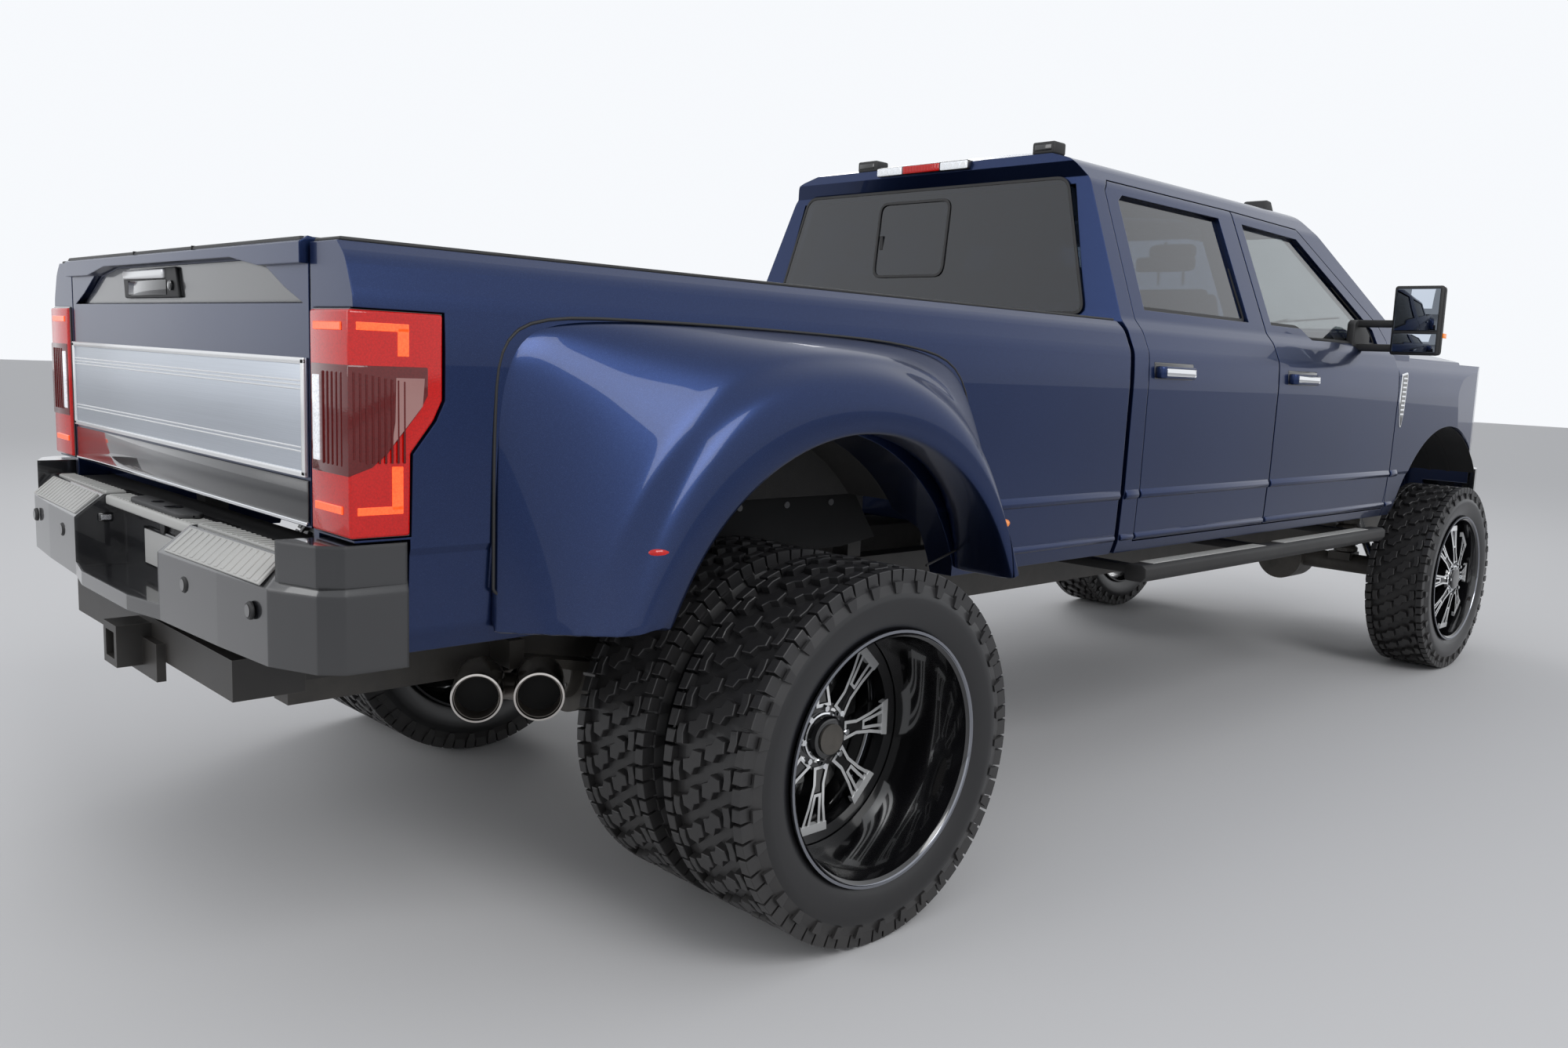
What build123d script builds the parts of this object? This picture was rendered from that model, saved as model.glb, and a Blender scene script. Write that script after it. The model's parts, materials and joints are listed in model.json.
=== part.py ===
from build123d import *
import os
from math import atan2, cos, degrees, hypot, pi, radians, sin, sqrt

os.makedirs("parts", exist_ok=True)

# Pickup truck with a crew cab, a long box and twin rear wheels.
# Millimetres. +X points forward, +Y to the truck's left, +Z up, the ground at Z = 0.

# Main layout
rear_overhang = 1330.0
wheelbase = 4470.0
front_overhang = 970.0
overall_length = rear_overhang + wheelbase + front_overhang
rear_end_x = -overall_length / 2
front_end_x = overall_length / 2
rear_axle_x = rear_end_x + rear_overhang
front_axle_x = rear_axle_x + wheelbase

# Tyres and wheels
tyre_radius = 468.0
tyre_width = 300.0
axle_z = tyre_radius
bead_radius = 306.0
rim_lip_radius = 320.0
rim_width = 292.0
rear_outer_tyre_y = 1164.0
rear_inner_tyre_y = 806.0
front_tyre_y = 985.0
dual_face_y = (rear_outer_tyre_y + rear_inner_tyre_y) / 2
spoke_windows = 8
spoke_end_radius = 262.0
hub_radius = 95.0
barrel_radius = 292.0

# Half of a spoke window and the slot inside a spoke pair: across, out from the wheel's centre
window_plan = [(-14, 122), (14, 122), (54, 250), (-54, 250)]
slot_plan = [(-5, 160), (5, 160), (13, 250), (-13, 250)]

# Tread: the tyre's flats, and one lug in plan: along the tread, across it
tyre_facets = 24
lug_height = 16.0
lug_plan = [(-16, -36), (26, -42), (34, 40), (30, 138), (-30, 138)]

# Body heights and widths
body_bottom_z = 816.0
wall = 64.0
pillar_inset = 70.0
hoop_inset = 88.0
seam = 5.0

# Cab
cab_back_x = front_axle_x - 3020
door_split_x = cab_back_x + 1060
door_front_x = cab_back_x + 2293
cowl_x = cab_back_x + 2490
floor_top_z = body_bottom_z + 30
door_bottom_z = floor_top_z + 6
door_top_z = 2104.0
glass_inset = 16.0
glass_thickness = 6.0

# Door and hood hinges
door_pin_y = 998.0
door_pin_back = 40.0
front_door_pin_x = door_front_x - seam - door_pin_back
rear_door_pin_x = door_split_x - seam - door_pin_back
door_hinge_z = (1040.0, 1400.0)
door_pin_radius = 4.0
hinge_eye_radius = 7.0
hood_pin_x = cowl_x + 27
hood_pin_z = 1630.0
hood_hinge_y = 410.0
pin_gap = 0.3

# Frame
rail_inner_y = 395.0
rail_outer_y = 475.0
rail_bottom_z = 600.0
rail_top_z = 790.0
rail_rear_x = rear_end_x + 235
rail_front_x = front_end_x - 265
bumper_top_z = 1000.0
bumper_corner_z = 1040.0
receiver_z = 682.0
receiver_half = 50.0
receiver_bore_half = 32.0

# Box
tailgate_outer_x = rear_end_x + 157
tailgate_thickness = 65.0
recess_depth = 18.0
tailgate_inner_x = tailgate_outer_x + tailgate_thickness
headboard_thickness = 40.0
cab_gap = 26.0
headboard_outer_x = cab_back_x - cab_gap
headboard_inner_x = headboard_outer_x - headboard_thickness
box_floor_z = 1064.0
floor_thickness = 34.0
box_top_z = 1600.0
tailgate_half_width = 815.0
box_wall_y = tailgate_half_width + 10
tailgate_bottom_z = box_floor_z - 15
hinge_pin_radius = 9.0
pin_clearance = 0.4
tailgate_axis_x = tailgate_outer_x + 33
tailgate_axis_z = tailgate_bottom_z + 13
lamp_inner_y = tailgate_half_width + 23
lamp_top_z = 1478.0
wheelhouse_y = 641.0

# Wheel arches: centre height and radius
rear_arch_z = 634.0
rear_arch_radius = 617.0
front_arch_z = 564.0
front_arch_radius = 676.0
flare_y = 1219.0

# Front end
nose_x = front_end_x - 265
core_thickness = 60.0
core_x = nose_x - core_thickness
hood_rear_x = cowl_x + 20
hood_edge_y = 800.0
hood_thickness = 30.0
grille_half_width = 560.0
fender_thickness = 26.0

# Steering
kingpin_y = 800.0
kingpin_radius = 24.0
kingpin_reach = 118.0
stub_radius = 40.0
hub_clearance = 0.4

# Half of the body's cross-section: y, z, corner radius
body_side = [
    (982, 816, 0),
    (996, 860, 60),
    (1004, 1012, 0),
    (1009, 1026, 0),
    (1016, 1420, 900),
    (1010, 1500, 90),
    (978, 1572, 70),
    (944, 1612, 60),
]
cab_top = [
    (750, 2084, 90),
    (694, 2156, 90),
    (560, 2194, 220),
    (300, 2214, 900),
]

# Half width of the body's front end: x from the nose, half width
nose_plan = [(-1620, 1100), (-670, 1018), (-320, 996), (-120, 938), (0, 890), (40, 862), (80, 800), (106, 700)]

# The glass's side view, x and z
windshield_low = (cab_back_x + 2450, 1680.0)
windshield_high = (cab_back_x + 1755, 2156.0)
rear_glass_low = (cab_back_x + 7, 1640.0)
rear_glass_high = (cab_back_x + 57, 2100.0)

# The cab's side view: x from its back, z
cab_profile = [
    (0, body_bottom_z),
    (0, 1600),
    (7, 1640),
    (57, 2100),
    (23, 2150),
    (33, 2184),
    (125, 2212),
    (505, 2226),
    (1105, 2226),
    (1505, 2206),
    (1755, 2156),
    (2450, 1680),
    (2490, 1640),
    (2490, 1060),
    (2335, body_bottom_z),
]

# Door outlines in the side view: x from the cab's back, z
front_door_outline = [
    (1060, door_bottom_z),
    (1060, door_top_z - 4),
    (1645, door_top_z - 14),
    (2245, 1712),
    (2293, 1640),
    (2293, 960),
    (2273, door_bottom_z),
]
rear_door_outline = [
    (93, door_bottom_z),
    (87, 1620),
    (127, 2060),
    (165, door_top_z - 4),
    (1060, door_top_z - 4),
    (1060, door_bottom_z),
]
front_window_outline = [
    (1125, 1648),
    (1125, 2052),
    (1615, 2042),
    (2165, 1680),
    (2177, 1610),
    (1465, 1604),
    (1395, 1648),
]
rear_window_outline = [
    (169, 1648),
    (201, 2030),
    (235, 2054),
    (935, 2054),
    (935, 1648),
]


def write(part, name):
    part.label = name
    export_step(part, "parts/" + name + ".step")


def mirrored(points):
    """Close a half outline given on the +Y side by its mirror."""
    return points + [(-y, z) for y, z in reversed(points)]


def from_station(station, points):
    """Side-view or plan points with their x counted from a station along the truck."""
    return [(station + x, other) for x, other in points]


def rounded_bar(rows, x_low, x_high, inset=0.0):
    """A cross-section of y, z and corner radius as a bar along X, set in by inset."""
    with BuildPart() as bar:
        with BuildSketch(Plane.YZ.offset(x_low)) as outline:
            Polygon(*[(y, z) for y, z, _ in rows], align=None)
            for y, z, radius in rows:
                if radius:
                    corner = [v for v in outline.vertices() if hypot(v.X - y, v.Y - z) < 0.01]
                    fillet(corner, radius)
            if inset:
                offset(amount=-inset, kind=Kind.INTERSECTION)
        extrude(amount=x_high - x_low)
    return bar.part


def section_solid(inset, x_low, x_high, rows):
    """The body's whole cross-section from rows for its +Y side."""
    return rounded_bar(rows + [(-y, z, radius) for y, z, radius in reversed(rows)], x_low, x_high, inset)


def profile_solid(points, y_low, y_high, inset=0.0):
    """A side-view outline as a bar along Y."""
    with BuildPart() as bar:
        with BuildSketch(Plane.XZ.offset(-y_low)):
            Polygon(*points, align=None)
            if inset:
                offset(amount=-inset, kind=Kind.INTERSECTION)
        extrude(amount=-(y_high - y_low))
    return bar.part


def plan_solid(points, z_low, z_high):
    """A top-view outline as a bar along Z."""
    with BuildPart() as bar:
        with BuildSketch(Plane.XY.offset(z_low)):
            Polygon(*points, align=None)
        extrude(amount=z_high - z_low)
    return bar.part


def block(x_low, x_high, y_low, y_high, z_low, z_high):
    """A box between six limits."""
    with BuildPart() as box:
        with BuildSketch(Plane.XY.offset(z_low)):
            with Locations(((x_low + x_high) / 2, (y_low + y_high) / 2)):
                Rectangle(x_high - x_low, y_high - y_low)
        extrude(amount=z_high - z_low)
    return box.part


def round_bar(start, end, radius):
    """A round bar between two points."""
    along = Vector(*end) - Vector(*start)
    with BuildPart() as bar:
        with BuildSketch(Plane(origin=start, z_dir=along)):
            Circle(radius)
        extrude(amount=along.length)
    return bar.part


def cross_bar(x, z, radius, y_low, y_high):
    """A round bar along Y."""
    return round_bar((x, y_low, z), (x, y_high, z), radius)


def both_sides(part):
    """The part and its mirror across the middle of the truck."""
    return Compound(children=[part, mirror(part, about=Plane.XZ)])


cab_outline = body_side + cab_top


def cab_envelope(inset):
    """The closed cab shape, set in by inset."""
    bar = section_solid(inset, cab_back_x - 50, cowl_x + 50, cab_outline)
    return bar & profile_solid(from_station(cab_back_x, cab_profile), -1100, 1100, inset)


cab_outer = cab_envelope(0.0)
cab_wall_inner = cab_envelope(wall)
cab_pillar_inner = cab_envelope(pillar_inset)
cabin_floor_cut = block(cab_back_x + pillar_inset, door_front_x + 32, -908, 908, floor_top_z, 950)
door_floor_cut = block(cab_back_x, cowl_x, -921, 921, floor_top_z, 950)


# Windscreen and rear window, drawn in the plane of the glass
def slanted_plane(low, high):
    """A plane through two side-view points, its normal pointing outward and up."""
    return Plane(
        origin=((low[0] + high[0]) / 2, 0, (low[1] + high[1]) / 2),
        x_dir=(0, 1, 0),
        z_dir=(high[1] - low[1], 0, low[0] - high[0]),
    )


windshield_plane = slanted_plane(windshield_low, windshield_high)
rear_glass_plane = Plane(
    origin=((rear_glass_low[0] + rear_glass_high[0]) / 2, 0, (rear_glass_low[1] + rear_glass_high[1]) / 2),
    x_dir=(0, -1, 0),
    z_dir=(rear_glass_low[1] - rear_glass_high[1], 0, rear_glass_high[0] - rear_glass_low[0]),
)
windshield_height = hypot(windshield_high[0] - windshield_low[0], windshield_high[1] - windshield_low[1])
rear_glass_height = hypot(rear_glass_high[0] - rear_glass_low[0], rear_glass_high[1] - rear_glass_low[1])


def glass_panel(plane, half_low, half_high, height, up, near, far):
    """A four-sided pane on a plane; up is +1 when the plane's local y runs up the glass."""
    with BuildPart() as pane:
        with BuildSketch(plane.offset(near)):
            Polygon(
                (-half_low, -up * height / 2),
                (half_low, -up * height / 2),
                (half_high, up * height / 2),
                (-half_high, up * height / 2),
                align=None,
            )
        extrude(amount=far - near)
    return pane.part


windshield_up = 1 if windshield_plane.y_dir.Z > 0 else -1
rear_up = 1 if rear_glass_plane.y_dir.Z > 0 else -1


def windshield_pane(near, far):
    return glass_panel(windshield_plane, 830, 640, windshield_height - 70, windshield_up, near, far)


def rear_pane(near, far):
    return glass_panel(rear_glass_plane, 785, 690, rear_glass_height - 50, rear_up, near, far)


def make_cab():
    """Roof, pillars, floor, back wall and firewall; the doors' space is left open."""
    shell = cab_outer - cab_pillar_inner - cabin_floor_cut
    for side in (1, -1):
        low, high = sorted((side * 600, side * 1100))
        for outline in (front_door_outline, rear_door_outline):
            shell -= profile_solid(from_station(cab_back_x, outline), low, high)
        fender_low, fender_high = sorted((side * 975, side * 1100))
        shell -= block(door_front_x, cowl_x + 50, fender_low, fender_high, 800, 1590)
    shell -= windshield_pane(-200, 200)
    shell -= rear_pane(-200, 200)
    # Middle pillars stand inside the doors and meet in a bow under the roof
    pillar = cab_envelope(hoop_inset) - cab_envelope(hoop_inset + 40)
    pillar &= block(door_split_x - 55, door_split_x + 55, -1000, 1000, floor_top_z + 20, 2200)
    foot = block(door_split_x - 55, door_split_x + 55, 870, 904, floor_top_z, 960)
    head = block(door_split_x - 55, door_split_x + 55, 400, 560, 2090, 2180) & cab_outer
    for piece in (foot, head):
        pillar += piece + mirror(piece, about=Plane.XZ)
    shell += pillar
    for side in (1, -1):
        for z in door_hinge_z:
            shell += hinge_bracket(front_door_pin_x, side, z, door_front_x + 12, 940, 958)
            shell += hinge_bracket(rear_door_pin_x, side, z, rear_door_pin_x + 7, 915, 958)
        low, high = sorted((side * (hood_hinge_y - 20), side * (hood_hinge_y + 20)))
        lug = block(cowl_x - 10, hood_pin_x, low, high, hood_pin_z - 12, hood_pin_z + 9)
        lug += cross_bar(hood_pin_x, hood_pin_z, 9, low, high)
        shell += lug - cross_bar(hood_pin_x, hood_pin_z, 5 + pin_gap, low - 1, high + 1)
    return shell


def hinge_bracket(pin_x, side, z, root_x, root_low, root_high):
    """A fixed hinge leaf: a root on the pillar, an arm outward and an eye round the pin."""
    low, high = sorted((side * root_low, side * root_high))
    leaf = block(pin_x - 7, root_x, low, high, z - 20, z + 20)
    low, high = sorted((side * root_low, side * door_pin_y))
    leaf += block(pin_x - 7, pin_x + 7, low, high, z - 20, z + 20)
    leaf += round_bar((pin_x, side * door_pin_y, z - 20), (pin_x, side * door_pin_y, z + 20), hinge_eye_radius)
    hole = round_bar(
        (pin_x, side * door_pin_y, z - 21), (pin_x, side * door_pin_y, z + 21), door_pin_radius + pin_gap
    )
    return leaf - hole


def make_door(outline, window, side, pin_x):
    """One door, as thick as the cab's wall, with its window cut and its hinge pins."""
    low, high = sorted((side * 600, side * 1100))
    door = (cab_outer - cab_wall_inner) & profile_solid(from_station(cab_back_x, outline), low, high, seam)
    door -= profile_solid(from_station(cab_back_x, window), low, high)
    door -= door_floor_cut
    low, high = sorted((side * 900, side * (door_pin_y + 8)))
    for z in door_hinge_z:
        door -= block(pin_x - 13, pin_x + 60, low, high, z - 24, z + 24)
        door += round_bar((pin_x, side * door_pin_y, z - 30), (pin_x, side * door_pin_y, z + 30), door_pin_radius)
    return door


def make_door_glass(window, side):
    """The pane that fills a door's window."""
    low, high = sorted((side * 600, side * 1100))
    layer = cab_envelope(glass_inset) - cab_envelope(glass_inset + glass_thickness)
    return layer & profile_solid(from_station(cab_back_x, window), low, high)


print("cab")
write(make_cab(), "cab")
for name, outline, window, pin_x in (
    ("front", front_door_outline, front_window_outline, front_door_pin_x),
    ("rear", rear_door_outline, rear_window_outline, rear_door_pin_x),
):
    for word, side in (("left", 1), ("right", -1)):
        write(make_door(outline, window, side, pin_x), "door_" + name + "_" + word)
        write(make_door_glass(window, side), "glass_" + name + "_" + word)
write(windshield_pane(-24, -16), "windshield")
write(rear_pane(-24, -16), "rear_window")


# Frame: two rails and their cross members
def make_frame():
    cross_members = [
        (rail_rear_x + 40, 655),
        (rear_axle_x - 445, 735),
        (rear_axle_x + 555, 735),
        (cab_back_x + 305, 735),
        (cab_back_x + 1505, 735),
        (front_axle_x + 445, 655),
        (rail_front_x - 30, 655),
    ]
    cab_mounts = [(cab_back_x + 105, body_bottom_z), (door_front_x - 88, body_bottom_z), (nose_x - 30, 830)]
    box_mounts = [rail_rear_x + 150, rear_axle_x + 705, headboard_outer_x - 89]
    mounts = cab_mounts + [(x, box_floor_z - floor_thickness) for x in box_mounts]
    with BuildPart() as frame:
        for side in (1, -1):
            low, high = sorted((side * rail_inner_y, side * rail_outer_y))
            add(block(rail_rear_x, rail_front_x, low, high, rail_bottom_z, rail_top_z))
            low, high = sorted((side * 400, side * 470))
            for x, top in mounts:
                add(block(x - 30, x + 30, low, high, rail_top_z, top))
        for x, z in cross_members:
            add(block(x - 35, x + 30, -rail_inner_y, rail_inner_y, z, z + 50))
    return frame.part


print("frame")
write(make_frame(), "frame")


# Engine and gearbox as plain blocks, shaft, tank, radiator
def make_engine():
    x = front_axle_x
    return block(x - 425, x + 345, -280, 280, 800, 1380) + block(x - 85, x + 15, -465, 465, rail_top_z, 850)


def make_driveline():
    gearbox_x = front_axle_x - 1265
    with BuildPart() as driveline:
        add(block(gearbox_x, front_axle_x - 430, -150, 150, 640, 800))
        add(block(gearbox_x + 250, gearbox_x + 310, -rail_inner_y, rail_inner_y, 650, 700))
        add(round_bar((gearbox_x + 10, 0, 700), (rear_axle_x + 268, 0, 500), 45))
    return driveline.part


def make_fuel_tank():
    x_low = rear_axle_x + 705
    x_high = cab_back_x + 245
    return block(x_low, x_high, 110, rail_inner_y, 560, 650) + block(x_low, x_high, 110, 380, 650, 780)


def make_radiator():
    return block(core_x - 110, core_x - 10, -390, 390, 740, 1400) + block(
        core_x - 85, core_x - 35, -470, 470, rail_top_z, 850
    )


write(make_engine(), "engine")
write(make_driveline(), "driveline")
write(make_fuel_tank(), "fuel_tank")
write(make_radiator(), "radiator")


# Axles
def make_rear_axle():
    x = rear_axle_x
    with BuildPart() as axle:
        add(cross_bar(x, axle_z, 60, -640, 640))
        add(round_bar((x - 130, 0, axle_z), (x - 90, 0, axle_z), 120))
        add(round_bar((x - 90, 0, axle_z), (x + 90, 0, axle_z), 165))
        add(round_bar((x, 0, 495), (x + 262, 0, 500), 62))
        add(cross_bar(x, axle_z, stub_radius, -1110, 1110))
        for side in (1, -1):
            low, high = sorted((side * 490, side * 590))
            add(block(x - 60, x + 60, low, high, axle_z, axle_z + 70))
    return axle.part


def make_front_axle():
    x = front_axle_x
    reach = kingpin_reach - 6
    with BuildPart() as axle:
        add(cross_bar(x, axle_z, 50, -735, 735))
        add(round_bar((x - 80, -200, axle_z), (x + 110, -200, axle_z), 130))
        for side in (1, -1):
            low, high = sorted((side * 705, side * (kingpin_y + 34)))
            add(block(x - 34, x + 34, low, high, axle_z + reach - 32, axle_z + reach))
            add(block(x - 34, x + 34, low, high, axle_z - reach, axle_z - reach + 32))
            low, high = sorted((side * 705, side * 735))
            add(block(x - 34, x + 34, low, high, axle_z - reach, axle_z + reach))
            y = side * kingpin_y
            hole = round_bar((x, y, axle_z - 200), (x, y, axle_z + 200), kingpin_radius + hub_clearance)
            add(hole, mode=Mode.SUBTRACT)
            low, high = sorted((side * 470, side * 590))
            add(block(x - 60, x + 60, low, high, axle_z + 20, axle_z + 60))
    return axle.part


spring_seat_z = axle_z + 60
spring_step = 38.0
spring_turns = 6
spring_top_z = spring_seat_z + spring_turns * spring_step


def make_coil(x, y):
    """A front spring, its turns as a ribbed twelve-sided column."""
    rows = [(spring_seat_z, 46.0)]
    for i in range(spring_turns):
        z = spring_seat_z + i * spring_step
        rows += [(z + 6, 62.0), (z + 24, 62.0), (z + spring_step, 46.0)]
    with BuildPart() as coil:
        for z, radius in rows:
            with BuildSketch(Plane.XY.offset(z)):
                with Locations((x, y)):
                    RegularPolygon(radius, 12)
        loft(ruled=True)
    return coil.part


def make_springs():
    """Leaf packs at the rear and coils at the front, each reaching from axle to frame."""
    leaf = [(-560, 640), (-300, 565), (0, 538), (300, 565), (560, 640)]
    leaf += [(560, 655), (300, 600), (0, 590), (-300, 600), (-560, 655)]
    with BuildPart() as springs:
        for side in (1, -1):
            low, high = sorted((side * 500, side * 570))
            add(profile_solid(from_station(rear_axle_x, leaf), low, high))
            low, high = sorted((side * rail_outer_y, side * 570))
            for x in (-600, 560):
                add(block(rear_axle_x + x, rear_axle_x + x + 40, low, high, 630, 700))
            add(make_coil(front_axle_x, side * 540))
            low, high = sorted((side * rail_outer_y, side * 610))
            add(block(front_axle_x - 70, front_axle_x + 70, low, high, spring_top_z, rail_top_z))
    return springs.part


print("axles")
write(make_rear_axle(), "rear_axle")
write(make_front_axle(), "front_axle")
write(make_springs(), "springs")


# Wheels, each made about Y at the origin with its outer side toward +Y
def faceted(rows):
    """A many-sided solid along Y through rows of y and radius to the flats, a flat at the bottom."""
    with BuildPart() as solid:
        for y, radius in rows:
            with BuildSketch(Plane.XZ.offset(-y)):
                RegularPolygon(radius, tyre_facets, major_radius=False, rotation=180 / tyre_facets)
        loft(ruled=True)
    return solid.part


def make_tyre():
    """The casing, then lugs across the tread, every other one on the other side."""
    half = tyre_width / 2
    base = tyre_radius - lug_height
    tyre = faceted([(-half, 400), (-half + 30, base), (half - 30, base), (half, 400)])
    tyre -= faceted([(-half, 392), (-half + 24, bead_radius)])
    tyre -= faceted([(half - 24, bead_radius), (half, 392)])
    tyre -= faceted([(-half + 20, bead_radius), (half - 20, bead_radius)])
    lugs = []
    for i in range(tyre_facets):
        side = 1 if i % 2 == 0 else -1
        outline = [(x, side * y) for x, y in lug_plan]
        lug = plan_solid(outline, -tyre_radius, -base + 40)
        lugs.append(Rot(0, i * 360 / tyre_facets, 0) * lug)
    return tyre.fuse(*lugs)


def make_barrel():
    """A rim barrel whose lips hold the tyre's beads."""
    half = rim_width / 2
    lip = rim_lip_radius - 10
    outer = [(-half, rim_lip_radius), (-half + 20, bead_radius), (half - 20, bead_radius), (half, rim_lip_radius)]
    inner = [(-half, lip), (-half + 24, barrel_radius), (half - 24, barrel_radius), (half, lip)]
    return faceted(outer) - faceted(inner)


def make_disc(face_y, rim_y, thickness, hub_back_y):
    """A spoked disc: its hub's face at face_y, its edge at rim_y, the hub reaching back to hub_back_y."""
    edge = barrel_radius + 6
    back_y = rim_y - thickness
    disc = faceted([(back_y, edge), (rim_y, edge)])
    dish = [(rim_y, spoke_end_radius), (face_y, hub_radius)]
    if face_y > rim_y:
        disc += faceted(dish)
    low = min(back_y, face_y - thickness) - 1
    disc -= faceted([(low, edge - 30), (back_y, edge - 30), (face_y - thickness, hub_radius)])
    for i in range(spoke_windows):
        for outline, turn in ((window_plan, 0.5), (slot_plan, 0.0)):
            with BuildPart() as cutter:
                with BuildSketch(Plane.XZ.offset(-(low - 5))):
                    Polygon(*outline, align=None)
                extrude(amount=-(face_y - low + 60))
            disc -= Rot(0, (i + turn) * 360 / spoke_windows, 0) * cutter.part
    disc += faceted([(hub_back_y, hub_radius), (face_y, hub_radius)])
    return disc - round_bar((0, hub_back_y - 1, 0), (0, face_y + 60, 0), stub_radius + hub_clearance)


def make_front_wheel():
    disc = make_disc(128, 100, 40, -60)
    return make_barrel() + disc


def make_rear_wheel():
    """Two rims on one hub: the outer disc stands deep in its rim, the inner one near its rim's outer edge."""
    outer_y = rear_outer_tyre_y - dual_face_y
    inner_y = rear_inner_tyre_y - dual_face_y
    outer = Pos(0, outer_y, 0) * make_barrel()
    inner = Pos(0, inner_y, 0) * make_barrel()
    outer_disc = make_disc(90, 67, 40, 700 - dual_face_y)
    inner_disc = make_disc(6, -79, 40, -60)
    return outer + inner + outer_disc + inner_disc


def make_knuckle():
    """Steering knuckle: king pin, body between the axle's ears, and the stub the wheel turns on."""
    x = front_axle_x
    y = kingpin_y
    with BuildPart() as knuckle:
        add(block(x - 50, x + 50, y - 40, y + 60, axle_z - 74, axle_z + 74))
        add(round_bar((x, y, axle_z - kingpin_reach), (x, y, axle_z + kingpin_reach), kingpin_radius))
        add(round_bar((x, y, axle_z), (x, front_tyre_y + 100, axle_z), stub_radius))
        add(cross_bar(x, axle_z, 150, y + 50, y + 90))
    return knuckle.part


def placed(part, x, y, side):
    """A wheel piece set on its axle, mirrored on the truck's right."""
    piece = Pos(x, y, axle_z) * part
    return piece if side > 0 else mirror(piece, about=Plane.XZ)


print("wheels")
tyre = make_tyre()
front_wheel = make_front_wheel()
rear_wheel = make_rear_wheel()
for word, side in (("left", 1), ("right", -1)):
    write(placed(front_wheel, front_axle_x, front_tyre_y, side), "wheel_front_" + word)
    write(placed(rear_wheel, rear_axle_x, dual_face_y, side), "wheel_rear_" + word)
    write(placed(tyre, front_axle_x, front_tyre_y, side), "tyre_front_" + word)
    outer = placed(tyre, rear_axle_x, rear_outer_tyre_y, side)
    inner = placed(tyre, rear_axle_x, rear_inner_tyre_y, side)
    write(Compound(children=[outer, inner]), "tyre_rear_" + word)
    write(make_knuckle() if side > 0 else mirror(make_knuckle(), about=Plane.XZ), "knuckle_" + word)


# Front end
def nose_outline(inset):
    """The tapering plan that limits the front end, set in by inset."""
    half = [(nose_x + x, y - inset) for x, y in nose_plan]
    return plan_solid(half + [(x, -y) for x, y in reversed(half)], 700, 1700)


def make_front_fenders():
    """Both side panels, their wheel housings and the core support that joins them."""
    top = hood_edge_y + 8
    outer_rows = body_side[:-2] + [(972, 1556, 0), (top, 1566, 0)]
    inner_rows = [(956, 816, 0), (979, 930, 0), (987, 1200, 0), (990, 1436, 0), (984, 1496, 0), (956, 1530, 0)]
    inner_rows += [(top, 1540, 0)]
    x_low = door_front_x + seam
    panel = section_solid(0.0, x_low, nose_x, outer_rows) & nose_outline(0.0)
    panel -= section_solid(0.0, x_low - 1, nose_x + 1, inner_rows) & nose_outline(fender_thickness)
    panel -= block(x_low - 1, nose_x + 1, -top, top, 700, 1700)
    panel -= block(x_low - 1, cowl_x + seam, -975, 975, 700, 1700)
    # Bolting flange against the cab
    for side in (1, -1):
        low, high = sorted((side * 975, side * 987))
        panel += block(x_low, cowl_x - 20, low, high, 900, 1500)
    # Wheel housings
    arch = cross_bar(front_axle_x, front_arch_z, front_arch_radius, -1100, 1100)
    liner = cross_bar(front_axle_x, front_arch_z, front_arch_radius + 14, -990, 990) & nose_outline(10)
    liner &= block(front_axle_x - 715, front_axle_x + 625, -1100, 1100, 850, 1300)
    liner -= block(front_axle_x - 800, front_axle_x + 800, -590, 590, 800, 1400)
    inner_wall = liner & block(front_axle_x - 800, front_axle_x + 800, -600, 600, 850, 1300)
    fenders = (panel - arch) + (liner - arch) + inner_wall
    # Room for the bumper's ends, then the core support
    for side in (1, -1):
        low, high = sorted((side * 700, side * 1100))
        fenders -= block(nose_x - 130, nose_x + 5, low, high, 800, 1005)
    core = block(core_x, nose_x, -965, 965, 1010, 1530) & nose_outline(10)
    core += block(core_x, nose_x, -620, 620, 830, 1010)
    core -= block(core_x - 5, nose_x + 5, -520, 520, 900, 1460)
    return fenders + core


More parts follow.
